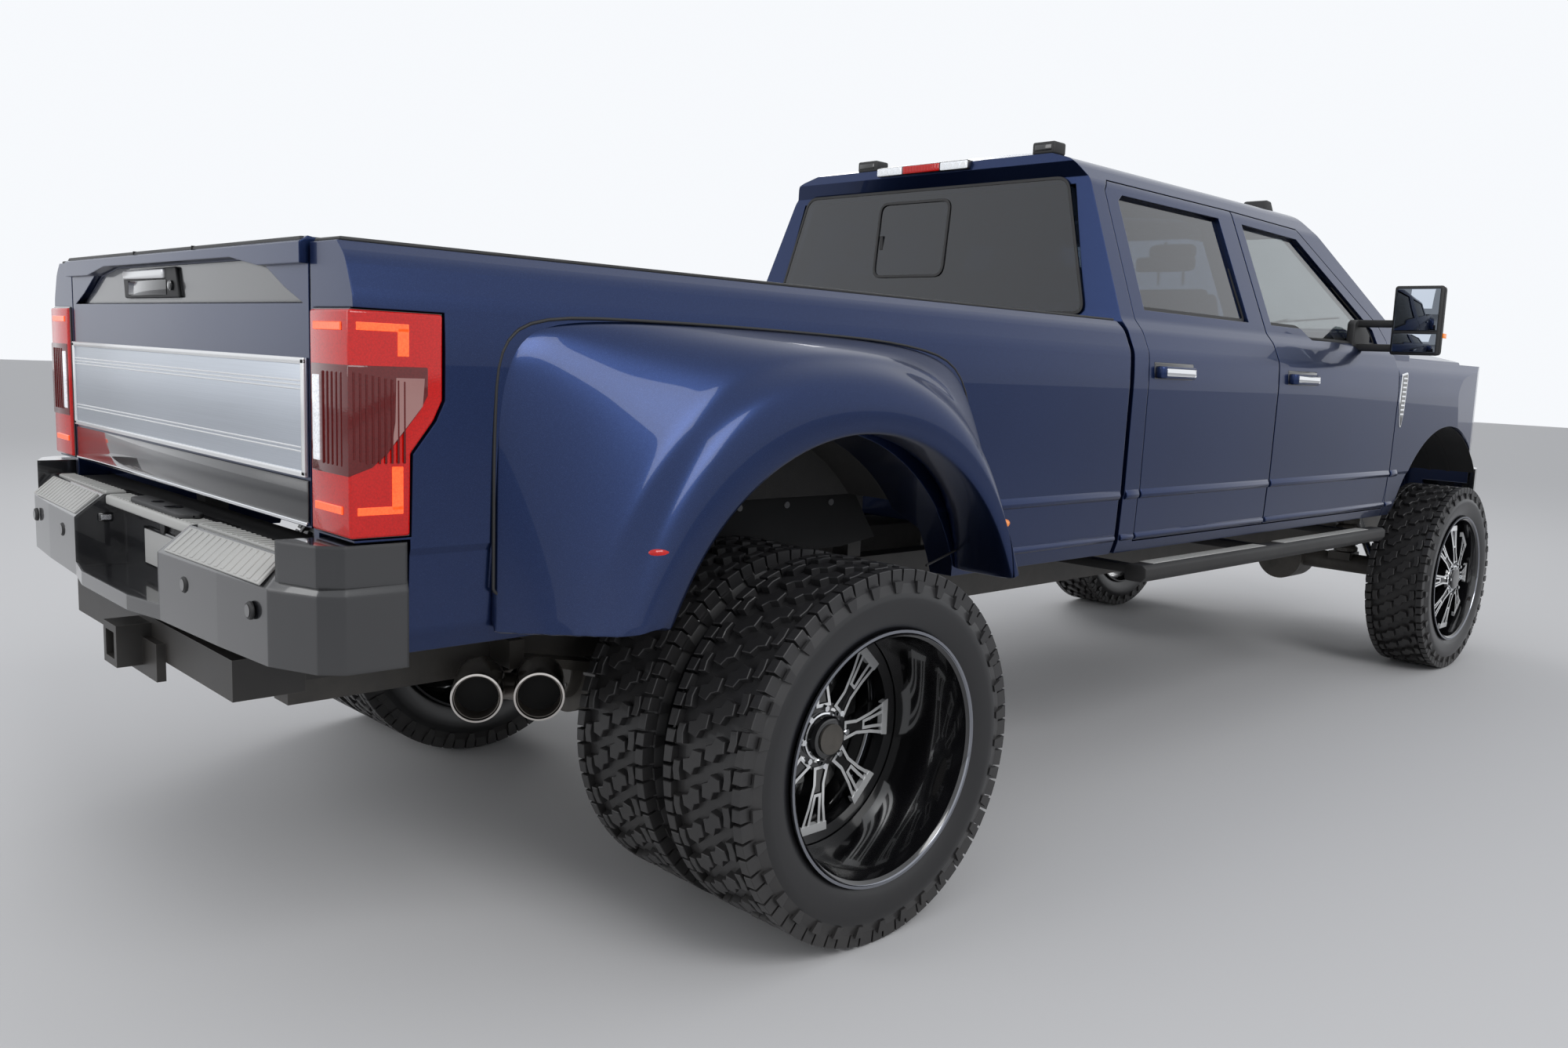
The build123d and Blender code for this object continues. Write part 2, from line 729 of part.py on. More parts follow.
def make_hood():
    skin = [(hood_edge_y, 1552), (780, 1580), (640, 1614), (420, 1636), (350, 1656)]
    inner = [(hood_edge_y - 25, 1500), (757, 1556), (636, 1584), (418, 1606), (348, 1626)]
    with BuildPart() as hood:
        with BuildSketch(Plane.YZ.offset(hood_rear_x)):
            Polygon(*mirrored(skin), align=None)
        extrude(amount=nose_x + 120 - hood_rear_x)
    with BuildPart() as under:
        with BuildSketch(Plane.YZ.offset(hood_rear_x - 5)):
            Polygon(*mirrored(inner), align=None)
        extrude(amount=nose_x + 180 - hood_rear_x)
    top = [(hood_rear_x, 1670), (nose_x - 320, 1660), (nose_x - 40, 1616), (nose_x + 80, 1566), (nose_x + 120, 1500)]
    profile = [(hood_rear_x, 1500)] + top
    hollow = [(hood_rear_x - 100, 1400), (hood_rear_x - 100, 1670)] + top[1:] + [(nose_x + 120, 1400)]
    plan = [(hood_rear_x - 10, 801), (nose_x, 801), (nose_x + 75, 720), (nose_x + 108, 560), (nose_x + 121, 200)]
    lid = hood.part & profile_solid(profile, -900, 900)
    lid -= under.part & profile_solid(hollow, -900, 900, hood_thickness)
    lid &= plan_solid(plan + [(x, -y) for x, y in reversed(plan)], 1400, 1700)
    for side in (1, -1):
        low, high = sorted((side * (hood_hinge_y - 25), side * (hood_hinge_y + 25)))
        lid -= block(hood_rear_x - 5, hood_pin_x + 16, low, high, 1560, 1700)
        lid += cross_bar(hood_pin_x, hood_pin_z, 5, low - 6, high + 6)
    return lid


def make_grille():
    """A frame with three openings, uprights across them and a panel behind."""
    face_x = nose_x + 105
    half = grille_half_width
    with BuildPart() as grille:
        add(block(nose_x, face_x, -half, half, 1010, 1490))
        for low, high in ((1050, 1195), (1230, 1300), (1335, 1450)):
            add(block(nose_x - 5, face_x + 5, -half + 40, half - 40, low, high), mode=Mode.SUBTRACT)
        for i in range(-3, 4):
            add(block(nose_x + 40, face_x - 20, i * 130 - 8, i * 130 + 8, 1030, 1470))
        add(block(nose_x + 20, nose_x + 30, -half + 20, half - 20, 1030, 1470))
    return grille.part


def make_headlamps():
    plan = [(nose_x + x, y) for x, y in nose_plan[4:]]
    plan += [(nose_x + 110, 640), (nose_x + 110, grille_half_width + seam), (nose_x, grille_half_width + seam)]
    return both_sides(plan_solid(plan, 1060, 1480))


def make_front_bumper():
    """The beam with its lamp pockets and middle intake, and the arms to the rails."""
    outer = [(0, 0), (0, 380), (-45, 700), (-155, 880), (-265, 945), (-385, 975)]
    inner = [(-385, 950), (-280, 922), (-180, 850), (-120, 690), (-100, 400)]
    half = from_station(front_end_x, outer[1:] + inner)
    beam = plan_solid(half + [(x, -y) for x, y in reversed(half)], 740, 1000)
    beam -= block(front_end_x - 200, front_end_x + 5, -330, 330, 785, 885)
    arms = block(rail_front_x, front_end_x - 95, rail_inner_y, rail_outer_y, 745, 785)
    for side in (1, -1):
        low, high = sorted((side * 590, side * 730))
        beam -= block(front_end_x - 90, front_end_x + 5, low, high, 830, 905)
    return beam + arms + mirror(arms, about=Plane.XZ)


print("front end")
write(make_front_fenders(), "front_fenders")
write(make_hood(), "hood")
write(make_grille(), "grille")
write(make_headlamps(), "headlamps")
write(make_front_bumper(), "front_bumper")


# Box
def make_cargo_box():
    floor_low_z = box_floor_z - floor_thickness
    floor = block(tailgate_inner_x + 8, headboard_outer_x, -box_wall_y, box_wall_y, floor_low_z, box_floor_z)
    headboard = block(headboard_inner_x, headboard_outer_x, -box_wall_y, box_wall_y, box_floor_z - 10, box_top_z - 10)
    tub = floor + headboard
    # Ribs along the floor
    for i in range(-5, 5):
        y = i * 110 + 55
        tub -= block(tailgate_inner_x + 60, headboard_inner_x - 60, y - 22, y + 22, box_floor_z - 8, box_floor_z + 5)
    for side in (1, -1):
        low, high = sorted((side * wheelhouse_y, side * box_wall_y))
        keep = block(rear_axle_x - 945, rear_axle_x + 1055, low, high, floor_low_z, 1400)
        skin = cross_bar(rear_axle_x, rear_arch_z, rear_arch_radius + 20, low, high) & keep
        low, high = sorted((side * (wheelhouse_y + 20), side * (box_wall_y + 20)))
        hollow = cross_bar(rear_axle_x, rear_arch_z, rear_arch_radius, low, high)
        tub = tub + skin - hollow
    return tub


# The tail lamp's side view: x from the tailgate's face, z
lamp_outline = [
    (-32, tailgate_bottom_z),
    (-32, lamp_top_z),
    (176, lamp_top_z),
    (176, 1310),
    (158, 1270),
    (112, 1208),
    (110, tailgate_bottom_z),
]


def make_bedside():
    """The left side of the box, with its wheel arch, lamp pocket and hinge bore."""
    rows = body_side[:-1] + [(945, box_top_z, 0), (box_wall_y, box_top_z, 0)]
    rows += [(box_wall_y, 1000, 0), (900, 950, 0), (900, body_bottom_z, 0)]
    panel = rounded_bar(rows, tailgate_outer_x, headboard_outer_x)
    panel -= cross_bar(rear_axle_x, rear_arch_z, rear_arch_radius, 500, 1100)
    panel -= profile_solid(from_station(tailgate_outer_x, lamp_outline), lamp_inner_y, 1100)
    panel -= block(rear_end_x + 60, rear_end_x + 265, 850, 1100, 780, bumper_corner_z + 5)
    panel -= cross_bar(tailgate_axis_x, tailgate_axis_z, hinge_pin_radius + pin_clearance, 800, lamp_inner_y)
    return panel


def make_tail_lamp():
    rows = [(lamp_inner_y, 900), (994, 900), (1010, 930), (1016, 1200), (1020, 1440), (1010, 1515), (lamp_inner_y, 1600)]
    with BuildPart() as lamp:
        with BuildSketch(Plane.YZ.offset(tailgate_outer_x - 12)):
            Polygon(*rows, align=None)
        extrude(amount=300)
    return lamp.part & profile_solid(from_station(tailgate_outer_x, lamp_outline), lamp_inner_y, 1100)


# The flare's outline at several distances from the middle: x from the rear axle, z
flare_base = [(-895, 838), (-895, 1240), (-880, 1430), (-800, 1484), (-245, 1492)]
flare_base += [(300, 1484), (520, 1450), (600, 1330), (612, 838)]
ring_1050 = [(-850, 838), (-845, 1180), (-800, 1360), (-700, 1440), (-245, 1470)]
ring_1050 += [(290, 1464), (500, 1420), (592, 1290), (609, 838)]
ring_1110 = [(-785, 838), (-740, 1090), (-640, 1270), (-500, 1385), (-245, 1446)]
ring_1110 += [(260, 1440), (450, 1360), (560, 1210), (604, 838)]
ring_1160 = [(-740, 838), (-680, 1010), (-541, 1237), (-411, 1356), (-200, 1422)]
ring_1160 += [(180, 1408), (360, 1325), (490, 1180), (598, 838)]
ring_1190 = [(-715, 842), (-650, 1010), (-515, 1215), (-395, 1320), (-195, 1382)]
ring_1190 += [(170, 1372), (345, 1290), (472, 1160), (590, 842)]
ring_face = [(-690, 850), (-620, 1010), (-490, 1180), (-370, 1275), (-190, 1330)]
ring_face += [(160, 1322), (325, 1250), (450, 1130), (575, 850)]
flare_rings = [(940, flare_base), (1011, flare_base), (1050, ring_1050), (1110, ring_1110)]
flare_rings += [(1160, ring_1160), (1190, ring_1190), (flare_y, ring_face)]


def make_flare():
    """The wide arch over the left twin wheels, from the panel out to the flare's face."""
    with BuildPart() as flare:
        for y, points in flare_rings:
            with BuildSketch(Plane.XZ.offset(-y)):
                Polygon(*from_station(rear_axle_x, points), align=None)
        loft(ruled=True)
    shape = flare.part - cross_bar(rear_axle_x, rear_arch_z, rear_arch_radius, 900, 1300)
    return shape - section_solid(0.0, tailgate_outer_x - 70, cab_back_x, body_side[:-1] + [(945, box_top_z, 0)])


# Half of the recess in the tailgate's face: y, z
recess_outline = [(0, 1580), (-450, 1580), (-600, 1560), (-700, 1516), (-790, 1485), (0, 1485)]


def make_tailgate():
    """The gate with its top lip, the recess for the handle and camera, and its hinge pins."""
    half = tailgate_half_width
    gate = block(tailgate_outer_x, tailgate_inner_x, -half, half, tailgate_bottom_z, box_top_z - 40)
    lip = [(-17, box_top_z - 40), (-17, box_top_z), (0, box_top_z + 12)]
    lip += [(tailgate_thickness, box_top_z), (tailgate_thickness, box_top_z - 41), (8, box_top_z - 41)]
    gate += profile_solid(from_station(tailgate_outer_x, lip), -half, half)
    # The dark recess under the lip
    with BuildPart() as recess:
        with BuildSketch(Plane.YZ.offset(tailgate_outer_x - 20)):
            Polygon(*(recess_outline + [(-y, z) for y, z in reversed(recess_outline)]), align=None)
        extrude(amount=20 + recess_depth)
    gate -= recess.part
    return gate + cross_bar(tailgate_axis_x, tailgate_axis_z, hinge_pin_radius, -lamp_inner_y + 3, lamp_inner_y - 3)


def make_tailgate_trim():
    half = tailgate_half_width - 5
    band = block(tailgate_outer_x - 10, tailgate_outer_x, -half, half, 1146, 1383)
    handle = block(tailgate_outer_x, tailgate_outer_x + recess_depth, -45, 365, 1498, 1572)
    return Compound(children=[band, handle])


print("box")
write(make_cargo_box(), "cargo_box")
write(both_sides(make_bedside()), "bedsides")
write(both_sides(make_flare()), "rear_flares")
write(both_sides(make_tail_lamp()), "tail_lamps")
write(make_tailgate(), "tailgate")
write(make_tailgate_trim(), "tailgate_trim")


# Rear bumper, hitch, exhaust
def bumper_plan(outer, inner, z):
    """A face of the rear bumper in plan, from half outlines with x from the rear end."""
    half = from_station(rear_end_x, outer + inner)
    with BuildSketch(Plane.XY.offset(z)) as face:
        Polygon(*(half + [(x, -y) for x, y in reversed(half)]), align=None)
    return face.sketch


def make_rear_bumper():
    """An upright band, a sloped step, raised corners, a deep plate notch, and arms to the rails."""
    lower = [(0, 180), (24, 330), (38, 640), (54, 860), (100, 975), (140, 1008), (260, 1012)]
    upper = [(84, 180), (90, 330), (97, 640), (104, 850), (128, 950), (150, 985), (260, 995)]
    inner = [(258, 985), (150, 945), (150, 430), (168, 400)]
    beam = loft([bumper_plan(lower, inner, 795), bumper_plan(lower, inner, 945)], ruled=True)
    beam += loft([bumper_plan(lower, inner, 945), bumper_plan(upper, inner, bumper_top_z)], ruled=True)
    beam -= block(rear_end_x + 30, rear_end_x + 140, -325, 325, 815, bumper_top_z + 5)
    beam -= block(rear_end_x - 5, rear_end_x + 35, -325, 325, 830, bumper_top_z + 5)
    for side in (1, -1):
        corner = [(66, 870), (100, 973), (140, 1006), (258, 1010), (258, 880)]
        points = from_station(rear_end_x, [(x, side * y) for x, y in corner])
        beam += plan_solid(points, 960, bumper_corner_z)
        low, high = sorted((side * rail_inner_y, side * rail_outer_y))
        beam += block(rear_end_x + 115, rail_rear_x, low, high, 812, 850)
        beam += block(rail_rear_x - 30, rail_rear_x, low, high, rail_top_z - 40, 850)
    return beam


def make_hitch():
    """A cross tube between two plates on the rails, with the square receiver under its middle."""
    x = rail_rear_x
    y, z, hole = receiver_half, receiver_z, receiver_bore_half
    with BuildPart() as hitch:
        add(block(x - 150, x, -576, 576, 655, 745))
        for side in (1, -1):
            low, high = sorted((side * rail_outer_y, side * (rail_outer_y + 14)))
            add(block(x - 100, x + 250, low, high, 655, 760))
        add(block(rear_end_x + 10, x, -y, y, z - y, z + y))
        add(block(x - 170, x - 150, -150, 150, 610, 700))
        add(block(rear_end_x, x + 5, -hole, hole, z - hole, z + hole), mode=Mode.SUBTRACT)
    return hitch.part


def make_exhaust():
    """A pipe from the gearbox through a silencer, over the axle and out to two turned tips."""
    x = rear_axle_x
    bends = [(x - 385, -300, 640), (x - 505, -300, 548), (x - 635, -500, 548), (x - 690, -570, 600)]
    path = [(cab_back_x + 1505, -300, 640)] + bends
    with BuildPart() as exhaust:
        for start, end in zip(path, path[1:]):
            add(round_bar(start, end, 38))
        for point in bends[:-1]:
            with Locations(point):
                Sphere(38)
        add(round_bar((cab_back_x + 705, -270, 640), (cab_back_x - 195, -270, 640), 85))
        add(round_bar((x - 572, -398, 550), (x - 552, -640, 588), 34))
        for start_x, start_y in ((-665, -547), (-545, -620)):
            start = (x + start_x, start_y, 610)
            end = (x + start_x - 89, start_y - 145, 610)
            add(round_bar(start, end, 58))
            add(round_bar((end[0] + 50, end[1] + 82, 610), (end[0] - 5, end[1] - 8, 610), 50), mode=Mode.SUBTRACT)
        # Hanger to the cross member
        add(block(x - 465, x - 435, -310, -290, 610, 735))
    return exhaust.part


print("rear end")
write(make_rear_bumper(), "rear_bumper")
write(make_hitch(), "hitch")
write(make_exhaust(), "exhaust")


# Cabin
def make_seats(x_back, y_ranges):
    seats = []
    for low, high in y_ranges:
        seat = block(x_back + 60, x_back + 620, low, high, 1120, 1270)
        back = [(90, 1270), (250, 1270), (110, 1850), (-10, 1850)]
        seat += profile_solid(from_station(x_back, back), low, high)
        middle = (low + high) / 2
        seat += block(x_back - 10, x_back + 90, middle - 130, middle + 130, 1850, 2010)
        seat += block(x_back + 120, x_back + 560, low + 60, high - 60, floor_top_z, 1120)
        seats.append(seat)
    return Compound(children=seats) if len(seats) > 1 else seats[0]


steering_hub = (cab_back_x + 1805, 420, 1520)
steering_root = (cab_back_x + 2005, 420, 1424)


def make_dashboard():
    outline = [(2005, 1330), (1985, 1560), (2065, 1640), (2305, 1650)]
    outline += [(2365, 1560), (2420, 1560), (2420, 1300), (2205, 1200)]
    shape = profile_solid(from_station(cab_back_x, outline), -860, 860) & cab_pillar_inner
    console = block(cab_back_x + 1305, cab_back_x + 2105, -150, 150, floor_top_z, 1180)
    console += block(cab_back_x + 2035, cab_back_x + 2105, -150, 150, 1180, 1400)
    return shape + console - round_bar(steering_hub, steering_root, 30)


def make_steering_wheel():
    with BuildPart() as wheel:
        with BuildSketch(Plane(origin=steering_hub, z_dir=(-0.9, 0, 0.43))):
            RegularPolygon(190, 24)
            RegularPolygon(158, 24, mode=Mode.SUBTRACT)
            Rectangle(330, 50)
            RegularPolygon(60, 12)
        extrude(amount=24)
    return wheel.part + round_bar(steering_hub, steering_root, 30)


print("cabin")
write(make_dashboard(), "dashboard")
write(make_steering_wheel(), "steering_wheel")
write(make_seats(cab_back_x + 1125, [(170, 690), (-690, -170)]), "front_seats")
write(make_seats(cab_back_x + 125, [(-720, 720)]), "rear_seat")


# Steps, mirrors, roof lamps
def make_side_steps():
    step_outline = [(950, 705), (1020, 705), (1040, 725), (1040, 758), (1028, 770), (950, 770)]
    with BuildPart() as steps:
        with BuildSketch(Plane.YZ.offset(cab_back_x + 125)):
            Polygon(*step_outline, align=None)
        extrude(amount=2120)
        for x in (225, 1205, 2165):
            add(block(cab_back_x + x - 25, cab_back_x + x + 25, rail_outer_y, 955, 715, 755))
    return both_sides(steps.part)


def make_mirror():
    """Left tow mirror: a tall rounded head on two arms from the front door."""
    x = cab_back_x + 1850
    with BuildPart() as mirror_head:
        with BuildSketch(Plane.YZ.offset(x)):
            with Locations((1225, 1711)):
                RectangleRounded(210, 299, 34)
        with BuildSketch(Plane.YZ.offset(x + 95)):
            with Locations((1222, 1711)):
                RectangleRounded(160, 240, 30)
        loft(ruled=True)
    arms = block(x + 45, x + 85, 940, 1135, 1575, 1615) + block(x + 45, x + 85, 940, 1135, 1685, 1715)
    foot = block(x + 15, x + 195, 920, 960, 1550, 1715)
    return mirror_head.part + arms + foot - cab_outer


def make_roof_lamps():
    lamps = []
    for y in (-560, -280, 0, 280, 560):
        low = cab_back_x + 1605
        lamps.append(block(low, low + 110, y - 55, y + 55, 2150, 2232 - abs(y) * 0.02) - cab_outer)
    lamps.append(block(cab_back_x + 5, cab_back_x + 65, -235, 235, 2150, 2190) - cab_outer)
    return Compound(children=lamps)


print("fittings")
write(make_side_steps(), "side_steps")
write(make_mirror(), "mirror_left")
write(mirror(make_mirror(), about=Plane.XZ), "mirror_right")
write(make_roof_lamps(), "roof_lamps")
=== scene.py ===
import json
from math import atan2, cos, pi, radians, sin

import bmesh
import bpy
from mathutils import Matrix, Vector


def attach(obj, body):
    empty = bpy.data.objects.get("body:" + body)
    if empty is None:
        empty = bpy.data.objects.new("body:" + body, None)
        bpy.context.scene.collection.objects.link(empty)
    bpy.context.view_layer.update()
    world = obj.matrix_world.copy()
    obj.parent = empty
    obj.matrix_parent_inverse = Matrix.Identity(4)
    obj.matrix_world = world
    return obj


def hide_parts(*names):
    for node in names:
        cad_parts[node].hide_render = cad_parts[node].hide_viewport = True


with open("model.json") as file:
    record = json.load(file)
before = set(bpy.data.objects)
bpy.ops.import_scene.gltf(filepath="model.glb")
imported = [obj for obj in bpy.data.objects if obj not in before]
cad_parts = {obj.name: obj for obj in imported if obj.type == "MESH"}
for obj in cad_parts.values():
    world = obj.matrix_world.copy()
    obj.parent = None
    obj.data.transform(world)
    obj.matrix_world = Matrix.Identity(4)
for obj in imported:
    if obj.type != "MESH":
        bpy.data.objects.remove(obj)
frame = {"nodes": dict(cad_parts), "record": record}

nodes = frame["nodes"]
scene = bpy.context.scene
record = frame["record"]
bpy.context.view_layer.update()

bodyOf = {member: body for body, members in record["behaviour"]["bodies"].items() for member in members}
sides = {"left": 1, "right": -1}


# Camera, light and floor
view = {"place": (-4.20216, -3.25438, 1.41536), "yaw": 0.761558, "pitch": -0.130747, "roll": 0.045658}
cameraLens = {"focal": 28.266, "sensor": 36.0, "shiftX": -0.05458, "shiftY": 0.00217}


def makeCamera():
    yaw, pitch, roll = view["yaw"], view["pitch"], view["roll"]
    ahead = Vector((cos(yaw) * cos(pitch), sin(yaw) * cos(pitch), sin(pitch)))
    level = Vector((sin(yaw), -cos(yaw), 0))
    upright = level.cross(ahead)
    right = level * cos(roll) + upright * sin(roll)
    up = upright * cos(roll) - level * sin(roll)
    camera = bpy.data.objects.new("camera", bpy.data.cameras.new("camera"))
    scene.collection.objects.link(camera)
    camera.matrix_world = Matrix((right, up, -ahead)).transposed().to_4x4()
    camera.location = view["place"]
    camera.data.lens = cameraLens["focal"]
    camera.data.sensor_width = cameraLens["sensor"]
    camera.data.shift_x = cameraLens["shiftX"]
    camera.data.shift_y = cameraLens["shiftY"]
    camera.data.clip_end = 200
    scene.camera = camera


light = {
    "world": 0.62,
    "sky": (0.93, 0.95, 0.98, 1),
    "aim": (0, 0, 0.9),
    "size": 5.0,
    "lamps": {"key": ((-3.0, -9.0, 7.5), 420), "fill": ((-9.5, 2.0, 5.0), 180), "rim": ((5.5, 8.0, 6.5), 260)},
}


def makeLight():
    world = bpy.data.worlds.new("studio")
    scene.world = world
    world.use_nodes = True
    tree = world.node_tree
    tree.nodes.clear()
    # Full strength where a camera, mirror or glass ray sees the background
    path = addNode(tree, "LightPath")
    seen = path.outputs["Is Camera Ray"]
    for ray in ("Is Transmission Ray", "Is Glossy Ray"):
        seen = addNode(tree, "Math", {"operation": "MAXIMUM"}, i0=seen, i1=path.outputs[ray]).outputs[0]
    strength = addNode(tree, "Mix", {"data_type": "FLOAT"}, i0=seen, i2=light["world"], i3=1.0)
    back = addNode(tree, "Background", Color=light["sky"], Strength=strength.outputs[0])
    addNode(tree, "OutputWorld", Surface=back.outputs[0])
    for name, (place, power) in light["lamps"].items():
        lamp = bpy.data.lights.new(name, "AREA")
        lamp.shape = "SQUARE"
        lamp.size = light["size"]
        lamp.energy = power
        holder = bpy.data.objects.new(name, lamp)
        scene.collection.objects.link(holder)
        holder.location = place
        holder.rotation_euler = (Vector(light["aim"]) - Vector(place)).to_track_quat("-Z", "Y").to_euler()


floorLook = {"half": 60, "drop": 0.0015, "colour": (0.62, 0.62, 0.63, 1)}


def makeFloor():
    bm = bmesh.new()
    bmesh.ops.create_grid(bm, x_segments=1, y_segments=1, size=floorLook["half"])
    mesh = bpy.data.meshes.new("floor")
    bm.to_mesh(mesh)
    bm.free()
    floor = bpy.data.objects.new("floor", mesh)
    scene.collection.objects.link(floor)
    floor.location.z = -floorLook["drop"]
    material = newMaterial("floor", {"Base Color": floorLook["colour"], "Roughness": 0.85})
    mesh.materials.append(material)


# Node helpers
finishes = {}


def newMaterial(name, values):
    # A named finish with these shader values
    material = finishes[name] = bpy.data.materials.new(name)
    material.use_nodes = True
    shader = material.node_tree.nodes["Principled BSDF"]
    for socket, value in values.items():
        shader.inputs[socket].default_value = value
    return material


def shaderOf(material):
    return material.node_tree.nodes["Principled BSDF"]


def newGroup(name, inputs, outputs):
    group = bpy.data.node_groups.new(name, "ShaderNodeTree")
    for label, kind, value in inputs:
        socket = group.interface.new_socket(label, in_out="INPUT", socket_type=kind)
        if value is not None:
            socket.default_value = value
    for label, kind in outputs:
        group.interface.new_socket(label, in_out="OUTPUT", socket_type=kind)
    return group, group.nodes.new("NodeGroupInput"), group.nodes.new("NodeGroupOutput")


def addNode(tree, kind, settings=None, **inputs):
    # Inputs are sockets or values, named, or i0, i1 by place
    node = tree.nodes.new("ShaderNode" + kind)
    for key, value in (settings or {}).items():
        setattr(node, key, value)
    for key, value in inputs.items():
        socket = node.inputs[int(key[1:])] if key[0] == "i" and key[1:].isdigit() else node.inputs[key]
        if isinstance(value, bpy.types.NodeSocket):
            tree.links.new(value, socket)
        else:
            socket.default_value = value
    return node


def useGroup(tree, group, **inputs):
    return addNode(tree, "Group", {"node_tree": group}, **inputs)


def tinted(tree, factor, first, second):
    # Blend two colours, each of them a socket or a value
    colours = [c if isinstance(c, bpy.types.NodeSocket) else (*c, 1) for c in (first, second)]
    return addNode(tree, "Mix", {"data_type": "RGBA"}, i0=factor, i6=colours[0], i7=colours[1]).outputs[2]


def ranged(tree, value, low, high, start=0.0):
    # Map start..1 to low..high
    node = addNode(tree, "MapRange", Value=value)
    for label, amount in (("From Min", start), ("To Min", low), ("To Max", high)):
        node.inputs[label].default_value = amount
    return node.outputs["Result"]


def objectPlace(tree):
    return addNode(tree, "TexCoord").outputs["Object"]


def connect(material, **sockets):
    # Link sockets to the shader's inputs of those names
    for label, source in sockets.items():
        material.node_tree.links.new(source, shaderOf(material).inputs[label.replace("_", " ")])


# Shared effects
def makeGrainGroup():
    group, start, end = newGroup(
        "fineGrain",
        [("Scale", "NodeSocketFloat", 400.0), ("Detail", "NodeSocketFloat", 3.0)],
        [("Height", "NodeSocketFloat"), ("Mask", "NodeSocketFloat")],
    )
    place = objectPlace(group)
    noise = addNode(group, "TexNoise", i0=place, Scale=start.outputs["Scale"], Detail=start.outputs["Detail"])
    broad = addNode(group, "TexNoise", i0=place, Scale=3.5, Detail=4.0)
    group.links.new(noise.outputs["Fac"], end.inputs["Height"])
    group.links.new(broad.outputs["Fac"], end.inputs["Mask"])
    return group


def makeEdgeGroup():
    # A small rounding of sharp edges, as a normal
    group, start, end = newGroup(
        "softEdge", [("Radius", "NodeSocketFloat", 0.003)], [("Normal", "NodeSocketVector")],
    )
    bevel = addNode(group, "Bevel", {"samples": 4}, Radius=start.outputs["Radius"])
    group.links.new(bevel.outputs[0], end.inputs["Normal"])
    return group


def scaledMask(group, mask, start):
    clamped = {"operation": "MULTIPLY", "use_clamp": True}
    return addNode(group, "Math", clamped, i0=mask.outputs[0], i1=start.outputs["Amount"]).outputs[0]


def makeWearGroup():
    # Where edges turn, broken up by noise
    group, start, end = newGroup(
        "edgeWear",
        [("Radius", "NodeSocketFloat", 0.004), ("Amount", "NodeSocketFloat", 0.5)],
        [("Mask", "NodeSocketFloat")],
    )
    bevel = addNode(group, "Bevel", {"samples": 4}, Radius=start.outputs["Radius"])
    normal = addNode(group, "NewGeometry").outputs["Normal"]
    dot = addNode(group, "VectorMath", {"operation": "DOT_PRODUCT"}, i0=bevel.outputs[0], i1=normal)
    turn = addNode(group, "Math", {"operation": "SUBTRACT"}, i0=1.0, i1=dot.outputs["Value"])
    noise = addNode(group, "TexNoise", i0=objectPlace(group), Scale=60.0, Detail=5.0)
    broken = addNode(group, "Math", {"operation": "MULTIPLY"}, i0=turn.outputs[0], i1=noise.outputs["Fac"])
    group.links.new(scaledMask(group, broken, start), end.inputs["Mask"])
    return group


def makeDustGroup():
    # Dust that fades out with height, broken up by noise
    group, start, end = newGroup(
        "roadDust",
        [("Top", "NodeSocketFloat", 0.9), ("Amount", "NodeSocketFloat", 0.4)],
        [("Mask", "NodeSocketFloat")],
    )
    place = objectPlace(group)
    height = addNode(group, "SeparateXYZ", i0=place).outputs["Z"]
    fall = ranged(group, height, 1.0, 0.0, 0.1)
    group.links.new(start.outputs["Top"], fall.node.inputs["From Max"])
    noise = addNode(group, "TexNoise", i0=place, Scale=9.0, Detail=7.0, Roughness=0.65)
    broken = addNode(group, "Math", {"operation": "MULTIPLY"}, i0=fall, i1=noise.outputs["Fac"])
    group.links.new(scaledMask(group, broken, start), end.inputs["Mask"])
    return group


grainGroup = makeGrainGroup()
wearGroup = makeWearGroup()
edgeGroup = makeEdgeGroup()
dustGroup = makeDustGroup()
dustColour = (0.30, 0.27, 0.23)


def surface(
    name, base, second=None, rough=0.5, metal=0.0, grain=400.0, bump=0.1, depth=0.0004,
    wear=0.0, worn=(0.5, 0.5, 0.5), dust=0.0, dustTop=0.9, edge=0.0, **values,
):
    # A finish with colour variation, fine grain, worn edges and road dust
    named = {key.replace("_", " "): value for key, value in values.items()}
    material = newMaterial(name, {"Metallic": metal, **named})
    tree = material.node_tree
    grainNode = useGroup(tree, grainGroup, Scale=grain)
    mask = grainNode.outputs["Mask"]
    colour = tinted(tree, mask, base, second or [c * 0.8 for c in base])
    if wear:
        colour = tinted(tree, useGroup(tree, wearGroup, Amount=wear).outputs["Mask"], colour, worn)
    if dust:
        dustNode = useGroup(tree, dustGroup, Amount=dust, Top=dustTop)
        colour = tinted(tree, dustNode.outputs["Mask"], colour, dustColour)
    connect(material, Base_Color=colour, Roughness=ranged(tree, mask, rough * 0.85, min(1.0, rough * 1.15)))
    if bump:
        relief = addNode(tree, "Bump", Strength=bump, Distance=depth, Height=grainNode.outputs["Height"])
        if edge:
            tree.links.new(useGroup(tree, edgeGroup, Radius=edge).outputs["Normal"], relief.inputs["Normal"])
        connect(material, Normal=relief.outputs[0])


